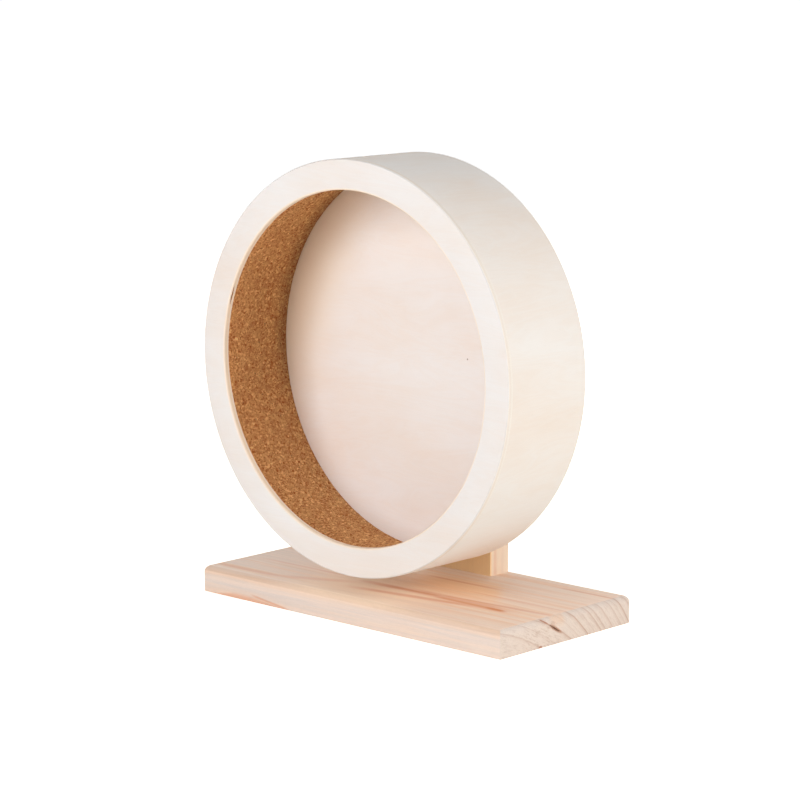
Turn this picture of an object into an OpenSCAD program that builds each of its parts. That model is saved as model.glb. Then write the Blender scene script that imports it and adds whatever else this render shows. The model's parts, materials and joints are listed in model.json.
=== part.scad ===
// Rodent exercise wheel: a cork-lined plywood drum, open at the front, that turns on two ball bearings
// in front of a post, on a pine base board. X runs across the wheel's face, Y from its open front to
// the post and along the wheel's axis, and Z up. The origin is the centre of the board's underside.

/* [Wheel] */
// Outer diameter of the wheel
wheel_d = 280; // [200:1:330]
// Depth of the wheel, from the ring's face to the back edge of the drum
wheel_depth = 77; // [50:1:120]
// Width of the front ring's face
ring_w = 20.5; // [14:0.5:40]
// Thickness of the front ring
ring_t = 4; // [3:0.5:8]
// Wall of the bent drum shell
shell_t = 4; // [2:0.5:6]
// Thickness of the cork lining
cork_t = 4; // [2:0.5:6]
// Thickness of the back disc
disc_t = 4; // [3:0.5:8]
// Rounding of the edges of the ring and of the drum
wheel_edge_r = 1; // [0.5:0.1:1.4]
// Open joint between the two ends of the cork strip
cork_joint = 0.4; // [0.2:0.1:1]

/* [Stand] */
// Length of the base board, across the wheel
base_w = 276; // [200:1:340]
// Thickness of the base board
base_t = 19; // [15:0.5:30]
// Rounding of the board's upper front and end edges
base_edge_r = 5; // [1:0.5:6]
// Rounding of its upper back edge, which the post stands close to
base_back_edge_r = 3; // [1:0.5:6]
// How far the board reaches in front of the wheel
front_margin = 4; // [2:0.5:40]
// How far the board reaches behind the post
back_margin = 3; // [1:0.5:40]
// Gap between the wheel and the board under it
floor_gap = 13; // [5:0.5:40]
// Width of the post
post_w = 66; // [60:1:110]
// Thickness of the post
post_t = 19; // [15:0.5:30]

/* [Hub] */
// Diameter of the hub block behind the back disc
hub_d = 90; // [60:1:140]
// Rounding of the hub block's back edge
hub_edge_r = 2; // [0.5:0.5:5]
// Shoulder that is left between the two bearing seats
hub_shoulder_t = 2; // [2:0.5:8]
// How much smaller the bore of the shoulder is than the bearings, on the radius
hub_shoulder_step = 3; // [2:0.1:3.2]
// Free space between the bolt's head and the back disc
head_gap = 0.5; // [0.3:0.1:2]
// How far the rear bearing sits inside the hub block's back face
bearing_recess = 0.2; // [0:0.1:0.6]

/* [Ball bearings] */
// Outer diameter of a bearing
bearing_d = 22; // [22:0.5:26]
// Width of a bearing
bearing_w = 7; // [7:0.5:9]
// Number of balls in a bearing
ball_count = 7; // [6:1:8]
// Diameter of a ball
ball_d = 3.96; // [3.5:0.02:4]
// Half of the radial space between the lands of the two rings
land_w = 1.45; // [1.3:0.05:1.6]
// Running gap between a ball and its groove
race_gap = 0.05; // [0.03:0.01:0.1]
// Radial thickness of the ball cage
cage_t = 1.2; // [0.8:0.1:1.4]
// Width of the ball cage
cage_w = 5.2; // [4.8:0.1:5.4]
// Gap between a ball and its pocket in the cage
pocket_gap = 0.1; // [0.05:0.01:0.15]
// Thickness of a bearing shield
shield_t = 0.4; // [0.2:0.05:0.5]
// How deep a shield sits inside the face of its bearing
shield_recess = 0.15; // [0.05:0.05:0.2]
// How far a shield reaches into the outer ring
shield_seat = 1; // [0.4:0.1:1.2]
// Gap between a shield and the inner ring
shield_gap = 0.3; // [0.1:0.05:0.6]

/* [Axle bolt and nuts] */
// Diameter of the bolt
bolt_d = 8; // [6:0.1:8.4]
// Width of the bolt's head and of the nuts across their flats
hex_af = 13; // [12:0.1:14]
// Height of the bolt's head
head_h = 5.3; // [4:0.1:7]
// Depth of the corner chamfer on the head and the nuts
hex_chamfer = 0.6; // [0.3:0.1:1]
// Thickness of the shim washers beside the bearings
shim_t = 1; // [0.5:0.1:2]
// Radial width of the shim washers and of the bearing spacer
shim_w = 1.9; // [1.4:0.1:2]
// Height of the jam nut in front of the post
jam_nut_h = 4; // [3:0.1:8]
// Diameter of the two washers on the post
washer_d = 24; // [18:0.5:30]
// Thickness of the washer in front of the post
post_washer_t = 1.2; // [1:0.1:3]
// Thickness of the washer behind the post
back_washer_t = 1.6; // [1:0.1:3]
// Thickness of the spring washer
spring_t = 2; // [1.5:0.1:3]
// Outer diameter of the spring washer
spring_d = 14; // [13:0.1:15]
// Angle of the slit in the spring washer
spring_slit = 8; // [4:1:20]
// Length of thread inside the cap nut
cap_thread = 8.2; // [6:0.1:12]
// Free space between the end of the bolt and the bottom of the cap nut's bore
cap_tip_gap = 1.3; // [0.5:0.1:3]
// Metal between that bore and the top of the cap
cap_top_t = 5.5; // [3:0.1:7]
// Height of the cap nut's hexagon
cap_hex_h = 6.5; // [4:0.1:8]
// Diameter of the cap nut's dome
cap_dome_d = 12.4; // [11:0.1:12.8]

/* [Base screws and dowels] */
// Diameter of the two screws that hold the post
screw_d = 4.5; // [3:0.1:6]
// Diameter of a screw's head
screw_head_d = 8.8; // [8:0.1:12]
// Length of a screw
screw_l = 50; // [40:1:70]
// Length of a screw's point
screw_point_l = 5; // [3:0.5:8]
// Distance between the two screws
screw_spacing = 20; // [16:1:24]
// How deep a screw's head sits inside the underside of the board
screw_sink = 0.5; // [0.2:0.1:2]
// Width of a slot of the cross in a screw's head
cross_w = 1; // [0.6:0.1:1.4]
// Length of a slot of the cross
cross_l = 4.6; // [3:0.1:5]
// Depth of the cross
cross_depth = 1.6; // [1:0.1:2]
// Diameter of the two dowels between the board and the post
dowel_d = 8; // [6:0.5:10]
// Length of a dowel
dowel_l = 32; // [26:1:40]
// Distance between the two dowels
dowel_spacing = 46; // [42:1:48]
// How deep a dowel goes into the board
dowel_in_base = 12; // [8:0.5:12]
// Chamfer on the ends of a dowel
dowel_chamfer = 1; // [0.5:0.1:2]

/* [Fits] */
// Radial gap between the bolt and what it carries
bolt_fit = 0.02; // [0.01:0.01:0.1]
// Radial gap between the bolt and its hole in the post
post_fit = 0.2; // [0.1:0.05:0.5]
// Gap at a glued or pressed seat
seat_fit = 0.02; // [0.01:0.01:0.05]
// Gap at the ends of a dowel
dowel_end_gap = 0.5; // [0.2:0.1:2]

/* [Hidden] */
$fn = 96;
// Colours of the woods, the cork and the metals
ply_colour = [0.94, 0.90, 0.85];
pine_colour = [0.90, 0.76, 0.63];
cork_colour = [0.68, 0.45, 0.28];
beech_colour = [0.84, 0.68, 0.50];
zinc_colour = [0.74, 0.75, 0.77];
steel_colour = [0.62, 0.63, 0.65];
brass_colour = [0.72, 0.58, 0.32];
// How far a cut runs past the face that it opens
cut = 1;
// The wheel's radii
wheel_r = wheel_d / 2;
ring_open_r = wheel_r - ring_w;
shell_inner_r = wheel_r - shell_t;
cork_inner_r = shell_inner_r - cork_t;
// Stations along the axle, from the bolt's head to the cap nut
axle_z = base_t + floor_gap + wheel_r;
wheel_back_s = wheel_depth;
head_s = wheel_back_s + head_gap;
head_shim_s = head_s + head_h;
front_bearing_s = head_shim_s + shim_t;
spacer_s = front_bearing_s + bearing_w;
rear_bearing_s = spacer_s + hub_shoulder_t;
nut_shim_s = rear_bearing_s + bearing_w;
hub_back_s = nut_shim_s + bearing_recess;
jam_nut_s = nut_shim_s + shim_t;
post_washer_s = jam_nut_s + jam_nut_h;
post_s = post_washer_s + post_washer_t;
back_washer_s = post_s + post_t;
spring_s = back_washer_s + back_washer_t;
cap_s = spring_s + spring_t;
bolt_end_s = cap_s + cap_thread;
cap_bore_end_s = bolt_end_s + cap_tip_gap;
cap_end_s = cap_bore_end_s + cap_top_t;
// The board's depth follows from what stands on it, and its middle is the origin
base_d = front_margin + post_s + post_t + back_margin;
wheel_front_y = front_margin - base_d / 2;
post_y = wheel_front_y + post_s;
// The bearing's radii
pitch_r = (bearing_d + bolt_d) / 4;
inner_land_r = pitch_r - land_w;
outer_land_r = pitch_r + land_w;
groove_r = ball_d / 2 + race_gap;
shield_inner_r = inner_land_r + shield_gap;
shield_outer_r = outer_land_r + shield_seat;
shim_r = bolt_d / 2 + shim_w;
thread_r = bolt_d / 2 + bolt_fit;
screw_head_h = (screw_head_d - screw_d) / 2;

// Puts a piece that is drawn along +Z on the wheel's axis, s behind the ring's face
module on_axle(s) {
    translate([0, wheel_front_y + s, axle_z]) rotate([-90, 0, 0]) children();
}

// A tube drawn along +Z
module tube(outer_r, inner_r, length) {
    difference() {
        cylinder(r = outer_r, h = length);
        translate([0, 0, -cut]) cylinder(r = inner_r, h = length + 2 * cut);
    }
}

// A rectangle from (x0, 0) to (x1, height) whose lower corners are rounded by r0 and r1
module low_rounded_bar(x0, x1, height, r0, r1) {
    translate([x0 + r0, 0]) square([x1 - x0 - r0 - r1, height]);
    translate([x0, r0]) square([2 * r0, height - r0]);
    translate([x1 - 2 * r1, r1]) square([2 * r1, height - r1]);
    translate([x0 + r0, r0]) circle(r = r0);
    translate([x1 - r1, r1]) circle(r = r1);
}

// A bar's outline, centred on x, whose upper corners are rounded by r0 and r1
module high_rounded_bar(width, height, r0, r1) {
    translate([0, height]) mirror([0, 1]) low_rounded_bar(-width / 2, width / 2, height, r0, r1);
}

// A hexagonal prism along +Z with its corners turned down at the top, and at the bottom if both
module chamfered_hex(height, both) {
    corner_r = hex_af / sqrt(3);
    low_r = both ? hex_af / 2 : corner_r;
    low_h = both ? hex_chamfer : 0;
    intersection() {
        cylinder(r = corner_r, h = height, $fn = 6);
        union() {
            if (both) cylinder(r1 = low_r, r2 = corner_r, h = hex_chamfer);
            translate([0, 0, low_h]) cylinder(r = corner_r, h = height - hex_chamfer - low_h);
            translate([0, 0, height - hex_chamfer])
                cylinder(r1 = corner_r, r2 = hex_af / 2, h = hex_chamfer);
        }
    }
}

// Places a pair of pieces on the post's middle plane, at both ends of a distance across it
module post_pair(spacing) {
    for (x = [-spacing / 2, spacing / 2]) translate([x, post_y + post_t / 2, 0]) children();
}

// A countersunk screw with a cross recess, head down, its point upwards; grow widens it into its hole
module wood_screw(grow) {
    shank_l = screw_l - screw_point_l;
    difference() {
        union() {
            cylinder(r1 = screw_head_d / 2 + grow, r2 = screw_d / 2 + grow, h = screw_head_h);
            translate([0, 0, screw_head_h]) cylinder(r = screw_d / 2 + grow, h = shank_l - screw_head_h);
            translate([0, 0, shank_l]) cylinder(r1 = screw_d / 2 + grow, r2 = grow, h = screw_point_l);
        }
        if (grow == 0) {
            for (a = [0, 90]) rotate([0, 0, a])
                translate([-cross_l / 2, -cross_w / 2, -cut]) cube([cross_l, cross_w, cross_depth + cut]);
        }
    }
}

// The hole of a screw, open through the underside of the board
module screw_hole() {
    translate([0, 0, screw_sink]) wood_screw(seat_fit);
    translate([0, 0, -cut]) cylinder(r = screw_head_d / 2 + seat_fit, h = screw_sink + cut);
}

module dowel_hole() {
    low = base_t - dowel_in_base - dowel_end_gap;
    translate([0, 0, low]) cylinder(r = dowel_d / 2 + seat_fit, h = dowel_l + 2 * dowel_end_gap);
}

module base_board() {
    color(pine_colour) difference() {
        intersection() {
            translate([0, base_d / 2, 0]) rotate([90, 0, 0])
                linear_extrude(base_d) high_rounded_bar(base_w, base_t, base_edge_r, base_edge_r);
            translate([-base_w / 2, 0, 0]) rotate([90, 0, 90])
                linear_extrude(base_w) high_rounded_bar(base_d, base_t, base_edge_r, base_back_edge_r);
        }
        post_pair(screw_spacing) screw_hole();
        post_pair(dowel_spacing) dowel_hole();
    }
}

module rear_post() {
    color(pine_colour) difference() {
        translate([0, post_y + post_t, 0]) rotate([90, 0, 0]) linear_extrude(post_t) {
            translate([-post_w / 2, base_t]) square([post_w, axle_z - base_t]);
            translate([0, axle_z]) circle(d = post_w);
        }
        on_axle(post_s - cut) cylinder(r = bolt_d / 2 + post_fit, h = post_t + 2 * cut);
        post_pair(screw_spacing) screw_hole();
        post_pair(dowel_spacing) dowel_hole();
    }
}

module base_screws() {
    color(zinc_colour) post_pair(screw_spacing) translate([0, 0, screw_sink]) wood_screw(0);
}

module post_dowels() {
    color(beech_colour) post_pair(dowel_spacing) translate([0, 0, base_t - dowel_in_base]) {
        cylinder(r1 = dowel_d / 2 - dowel_chamfer, r2 = dowel_d / 2, h = dowel_chamfer);
        translate([0, 0, dowel_chamfer]) cylinder(d = dowel_d, h = dowel_l - 2 * dowel_chamfer);
        translate([0, 0, dowel_l - dowel_chamfer])
            cylinder(r1 = dowel_d / 2, r2 = dowel_d / 2 - dowel_chamfer, h = dowel_chamfer);
    }
}

module front_ring() {
    color(ply_colour) on_axle(0) rotate_extrude()
        low_rounded_bar(ring_open_r, wheel_r, ring_t, wheel_edge_r, wheel_edge_r);
}

module drum_shell() {
    length = wheel_depth - ring_t;
    color(ply_colour) on_axle(ring_t) rotate_extrude() {
        translate([shell_inner_r, 0]) square([shell_t, length - wheel_edge_r]);
        translate([shell_inner_r, 0]) square([shell_t - wheel_edge_r, length]);
        translate([wheel_r - wheel_edge_r, length - wheel_edge_r]) circle(r = wheel_edge_r);
    }
}

module cork_lining() {
    length = wheel_depth - ring_t - disc_t;
    color(cork_colour) on_axle(ring_t) difference() {
        tube(shell_inner_r - seat_fit, cork_inner_r, length);
        translate([cork_inner_r - cut, -cork_joint / 2, -cut])
            cube([cork_t + 2 * cut, cork_joint, length + 2 * cut]);
    }
}

module back_disc() {
    color(ply_colour) on_axle(wheel_depth - disc_t) cylinder(r = shell_inner_r - seat_fit, h = disc_t);
}

module hub_block() {
    length = hub_back_s - wheel_back_s;
    seat_r = bearing_d / 2 + seat_fit;
    color(beech_colour) on_axle(wheel_back_s) difference() {
        union() {
            cylinder(d = hub_d, h = length - hub_edge_r);
            rotate_extrude() {
                translate([0, length - 2 * hub_edge_r])
                    square([hub_d / 2 - hub_edge_r, 2 * hub_edge_r]);
                translate([hub_d / 2 - hub_edge_r, length - hub_edge_r]) circle(r = hub_edge_r);
            }
        }
        translate([0, 0, -cut]) cylinder(r = seat_r, h = spacer_s - wheel_back_s + cut);
        translate([0, 0, rear_bearing_s - wheel_back_s]) cylinder(r = seat_r, h = length);
        translate([0, 0, -cut]) cylinder(r = bearing_d / 2 - hub_shoulder_step, h = length + 2 * cut);
    }
}

// The ring-shaped groove in which the balls run
module ball_groove() {
    translate([0, 0, bearing_w / 2]) rotate_extrude() translate([pitch_r, 0]) circle(r = groove_r);
}

module bearing_outer_ring(s) {
    shield_bed = shield_recess + shield_t;
    color(steel_colour) on_axle(s) difference() {
        tube(bearing_d / 2, outer_land_r, bearing_w);
        ball_groove();
        translate([0, 0, -cut]) cylinder(r = shield_outer_r, h = shield_bed + cut);
        translate([0, 0, bearing_w - shield_bed]) cylinder(r = shield_outer_r, h = shield_bed + cut);
    }
}

module bearing_inner_ring(s) {
    color(steel_colour) on_axle(s) difference() {
        tube(inner_land_r, thread_r, bearing_w);
        ball_groove();
    }
}

// Places one piece at every ball
module at_balls(s) {
    on_axle(s + bearing_w / 2) for (i = [0 : ball_count - 1])
        rotate([0, 0, i * 360 / ball_count]) translate([pitch_r, 0, 0]) children();
}

module bearing_balls(s) {
    color(steel_colour) at_balls(s) sphere(d = ball_d);
}

module bearing_cage(s) {
    color(brass_colour) difference() {
        on_axle(s + (bearing_w - cage_w) / 2) tube(pitch_r + cage_t / 2, pitch_r - cage_t / 2, cage_w);
        at_balls(s) rotate([0, 90, 0])
            cylinder(r = ball_d / 2 + pocket_gap, h = cage_t + 2 * cut, center = true);
    }
}

module bearing_shields(s) {
    color(zinc_colour) for (side_s = [s + shield_recess, s + bearing_w - shield_recess - shield_t])
        on_axle(side_s) tube(shield_outer_r - seat_fit, shield_inner_r, shield_t);
}

module axle_bolt() {
    color(zinc_colour) {
        on_axle(head_shim_s) mirror([0, 0, 1]) chamfered_hex(head_h, false);
        on_axle(head_shim_s) cylinder(d = bolt_d, h = bolt_end_s - head_shim_s);
    }
}

module head_shim() {
    color(zinc_colour) on_axle(head_shim_s) tube(shim_r, thread_r, shim_t);
}

module bearing_spacer() {
    color(zinc_colour) on_axle(spacer_s) tube(shim_r, thread_r, hub_shoulder_t);
}

module nut_shim() {
    color(zinc_colour) on_axle(nut_shim_s) tube(shim_r, thread_r, shim_t);
}

module jam_nut() {
    color(zinc_colour) on_axle(jam_nut_s) difference() {
        chamfered_hex(jam_nut_h, true);
        translate([0, 0, -cut]) cylinder(r = thread_r, h = jam_nut_h + 2 * cut);
    }
}

module post_washer() {
    color(zinc_colour) on_axle(post_washer_s) tube(washer_d / 2, thread_r, post_washer_t);
}

module back_washer() {
    color(zinc_colour) on_axle(back_washer_s) tube(washer_d / 2, thread_r, back_washer_t);
}

module spring_washer() {
    color(zinc_colour) on_axle(spring_s) rotate([0, 0, spring_slit / 2 - 90])
        rotate_extrude(angle = 360 - spring_slit)
            translate([thread_r, 0]) square([spring_d / 2 - thread_r, spring_t]);
}

module cap_nut() {
    length = cap_end_s - cap_s;
    color(zinc_colour) on_axle(cap_s) difference() {
        union() {
            chamfered_hex(cap_hex_h, true);
            cylinder(d = cap_dome_d, h = length - cap_dome_d / 2);
            translate([0, 0, length - cap_dome_d / 2]) sphere(d = cap_dome_d);
        }
        translate([0, 0, -cut]) cylinder(r = thread_r, h = cap_bore_end_s - cap_s + cut);
    }
}

base_board();
rear_post();
base_screws();
post_dowels();
front_ring();
drum_shell();
cork_lining();
back_disc();
hub_block();
bearing_outer_ring(front_bearing_s);  // front_bearing_outer_ring
bearing_inner_ring(front_bearing_s);  // front_bearing_inner_ring
bearing_balls(front_bearing_s);  // front_bearing_balls
bearing_cage(front_bearing_s);  // front_bearing_cage
bearing_shields(front_bearing_s);  // front_bearing_shields
bearing_outer_ring(rear_bearing_s);  // rear_bearing_outer_ring
bearing_inner_ring(rear_bearing_s);  // rear_bearing_inner_ring
bearing_balls(rear_bearing_s);  // rear_bearing_balls
bearing_cage(rear_bearing_s);  // rear_bearing_cage
bearing_shields(rear_bearing_s);  // rear_bearing_shields
axle_bolt();
head_shim();
bearing_spacer();
nut_shim();
jam_nut();
post_washer();
back_washer();
spring_washer();
cap_nut();
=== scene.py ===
"""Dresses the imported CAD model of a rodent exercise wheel: a plywood drum lined with cork that turns
on two ball bearings in front of a post on a pine board. X runs across the wheel's face, Y from its
open front to the post and along its axis, and Z up. All lengths are in metres."""

import json
import math
from collections import namedtuple
from functools import reduce

import bmesh
import bpy
import numpy as np
from mathutils import Matrix, Vector


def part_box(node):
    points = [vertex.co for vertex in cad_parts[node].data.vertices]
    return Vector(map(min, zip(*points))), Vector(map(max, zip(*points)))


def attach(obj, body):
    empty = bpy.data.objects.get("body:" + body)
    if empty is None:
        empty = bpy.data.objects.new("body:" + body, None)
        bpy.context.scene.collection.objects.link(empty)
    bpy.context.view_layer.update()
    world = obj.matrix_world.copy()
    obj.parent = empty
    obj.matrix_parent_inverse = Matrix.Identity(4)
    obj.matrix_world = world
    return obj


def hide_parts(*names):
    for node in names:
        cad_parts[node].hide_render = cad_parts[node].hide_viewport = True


bl_info = {
    "name": "Rodent Exercise Wheel",
    "version": (1, 0, 0),
    "blender": (4, 5, 0),
    "location": "3D Viewport > Sidebar > Exercise Wheel",
    "description": "Builds the visible pieces of a cork-lined wooden exercise wheel around its CAD model",
    "category": "Object",
}

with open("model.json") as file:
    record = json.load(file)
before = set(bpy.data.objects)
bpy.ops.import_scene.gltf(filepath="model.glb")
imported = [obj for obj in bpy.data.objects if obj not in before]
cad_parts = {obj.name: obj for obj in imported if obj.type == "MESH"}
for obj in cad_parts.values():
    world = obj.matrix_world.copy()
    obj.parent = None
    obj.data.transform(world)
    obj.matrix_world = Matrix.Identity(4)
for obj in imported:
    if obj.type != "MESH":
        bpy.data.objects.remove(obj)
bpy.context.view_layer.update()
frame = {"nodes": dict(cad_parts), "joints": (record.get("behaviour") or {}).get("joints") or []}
AXLE = Vector(frame["joints"][0]["pos_m"])
MM = 0.001
FIT_GAP = 0.02 * MM
Turned = namedtuple("Turned", "inner outer front back")


# Sizes that come from the CAD model

def node_points(node):
    """Vertices of a CAD node, one row of x, y and z each."""
    mesh = frame["nodes"][node].data
    flat = np.empty(len(mesh.vertices) * 3)
    mesh.vertices.foreach_get("co", flat)
    return flat.reshape(-1, 3)


def turned_size(node):
    """Radii about the wheel's axis and the y of both ends of a round CAD node."""
    points = node_points(node)
    radius = np.hypot(points[:, 0] - AXLE.x, points[:, 2] - AXLE.z)
    return Turned(radius.min(), radius.max(), points[:, 1].min(), points[:, 1].max())


def right_hand_copy(node):
    """Vertices of a CAD node that lie at +X, such as one copy of a pair set across the wheel."""
    points = node_points(node)
    return points[points[:, 0] > 0]


def middle(points, axis):
    return (points[:, axis].min() + points[:, axis].max()) / 2


RING = turned_size("front_ring")
SHELL = turned_size("drum_shell")
CORK = turned_size("cork_lining")
DISC = turned_size("back_disc")
HUB = turned_size("hub_block")
BOARD_LOW, BOARD_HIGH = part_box("base_board")
POST_LOW, POST_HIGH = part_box("rear_post")


def srgb(red, green, blue):
    """Linear colour of a display colour that is given from 0 to 255."""
    linear = []
    for value in (red, green, blue):
        value /= 255
        linear.append(value / 12.92 if value <= 0.04045 else ((value + 0.055) / 1.055) ** 2.4)
    return tuple(linear)


def colour_property(name, description, red, green, blue):
    return bpy.props.FloatVectorProperty(
        name=name, description=description, subtype="COLOR", size=3, min=0, max=1,
        default=srgb(red, green, blue))


def length_property(name, description, default, low=0.0, high=10.0):
    return bpy.props.FloatProperty(
        name=name, description=description, default=default, min=low, max=high,
        subtype="DISTANCE", unit="LENGTH", precision=5)


def angle_property(name, description, degrees):
    return bpy.props.FloatProperty(
        name=name, description=description, subtype="ANGLE", default=math.radians(degrees))


def number_property(name, description, default):
    return bpy.props.FloatProperty(name=name, description=description, default=default, min=0)


class WheelSizes(bpy.types.PropertyGroup):
    """Sizes of the details that the CAD model leaves out"""

    face_veneer: length_property("Face veneer", "Thickness of the front ring's face veneer", 1.0 * MM)
    back_veneer: length_property("Back veneer", "Thickness of the front ring's back veneer", 1.2 * MM)
    shell_veneer: length_property("Shell veneer", "Thickness of the drum's outer veneers", 0.9 * MM)
    edge_ease: length_property("Eased edge", "Sanded rounding of the wooden edges", 0.4 * MM)
    metal_ease: length_property("Metal edge", "Rounding of the washers' edges", 0.2 * MM)
    void_start: angle_property("Void start", "Angle at which the void in the ring's core begins", 157.3)
    void_end: angle_property("Void end", "Angle at which the void in the ring's core ends", 163.4)
    void_depth: length_property("Void depth", "Depth of the void in the ring's core", 1.6 * MM)
    granule: length_property("Cork granule", "Size of the larger cork granules", 1.4 * MM)
    pit: length_property("Cork pit", "Depth of the pits between cork granules", 0.35 * MM)
    bolt_pitch: length_property("Bolt pitch", "Pitch of the bolt's thread", 1.25 * MM)
    screw_pitch: length_property("Screw pitch", "Pitch of the wood screws' thread", 1.8 * MM)


class WheelColours(bpy.types.PropertyGroup):
    """Colours of the woods, the cork and the metals"""

    veneer: colour_property("Veneer", "Pale sanded face of the plywood", 233, 229, 228)
    veneer_shade: colour_property("Veneer figure", "Figure in the plywood's face", 231, 219, 211)
    ply_core: colour_property("Plywood core", "Cut core of the plywood's inner edge", 248, 226, 200)
    ply_void: colour_property("Plywood void", "Inside of a gap in the core", 204, 142, 88)
    pine_early: colour_property("Pine earlywood", "Pale wood between the growth rings", 220, 206, 199)
    pine_end: colour_property("Pine end grain", "Sawn end of the board", 221, 205, 193)
    pine_late: colour_property("Pine latewood", "Dark line of a growth ring", 172, 122, 90)
    pine_tan: colour_property("Pine face", "Planed upper face of the board", 246, 219, 198)
    pine_amber: colour_property("Pine amber", "Amber patch and bands in the board's face", 236, 182, 132)
    pine_resin: colour_property("Pine resin", "Orange resin streaks along the grain", 212, 128, 70)
    pine_heart: colour_property("Pine heartwood", "Golden heartwood on the post's front", 240, 202, 152)
    beech: colour_property("Beech", "Turned hub block and dowels", 214, 172, 132)
    cork_dark: colour_property("Dark cork", "Darkest cork granules", 180, 104, 56)
    cork_light: colour_property("Light cork", "Lightest cork granules", 255, 208, 142)
    zinc: colour_property("Zinc", "Plated fasteners", 176, 178, 184)
    steel: colour_property("Bearing steel", "Ground rings and balls", 184, 186, 190)
    brass: colour_property("Cage brass", "Pressed ball cages", 214, 178, 108)


class WheelStage(bpy.types.PropertyGroup):
    """Camera, lamps and floor"""

    azimuth: angle_property("Azimuth", "Camera's direction round the wheel, from its open front", 42.983)
    elevation: angle_property("Elevation", "Camera's height angle", 9.744)
    distance: length_property("Distance", "From the camera to the point it looks at", 1.9423)
    aim_x: length_property("Aim X", "Point that the camera looks at", -0.01127, low=-10.0)
    aim_z: length_property("Aim height", "Height of that point", 0.14295)
    lens: number_property("Lens", "Focal length on a 36 mm sensor, in millimetres", 128.01)
    sky: number_property("Sky", "Strength of the even light from all around", 0.02)
    key_share: number_property("Key", "Front lamp as a share of full light", 0.70)
    side_share: number_property("Side", "Right lamp as a share of full light", 0.71)
    top_share: number_property("Top", "Overhead lamp as a share of full light", 0.17)
    rear_share: number_property("Rear", "High rear lamp as a share of full light", 0.10)
    back_share: number_property("Back", "Low rear lamp as a share of full light", 0.30)
    left_share: number_property("Left", "Left rear lamp as a share of full light", 0.22)
    floor_glow: number_property(
        "Floor white", "White added to the floor by the wheel, for the camera alone", 0.7)
    floor: colour_property("Floor", "Pale studio floor", 253, 248, 238)


# Shader and geometry trees

class Value:
    """Output of a node that plain arithmetic works on. Each operation adds a Math node to the tree."""

    def __init__(self, nodes, socket):
        self.nodes = nodes
        self.socket = socket

    def __add__(self, other):
        return self.nodes.math("ADD", self, other)

    def __radd__(self, other):
        return self.nodes.math("ADD", other, self)

    def __sub__(self, other):
        return self.nodes.math("SUBTRACT", self, other)

    def __rsub__(self, other):
        return self.nodes.math("SUBTRACT", other, self)

    def __mul__(self, other):
        return self.nodes.math("MULTIPLY", self, other)

    def __truediv__(self, other):
        return self.nodes.math("DIVIDE", self, other)

    def __rtruediv__(self, other):
        return self.nodes.math("DIVIDE", other, self)

    def __abs__(self):
        return self.nodes.math("ABSOLUTE", self)


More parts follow.
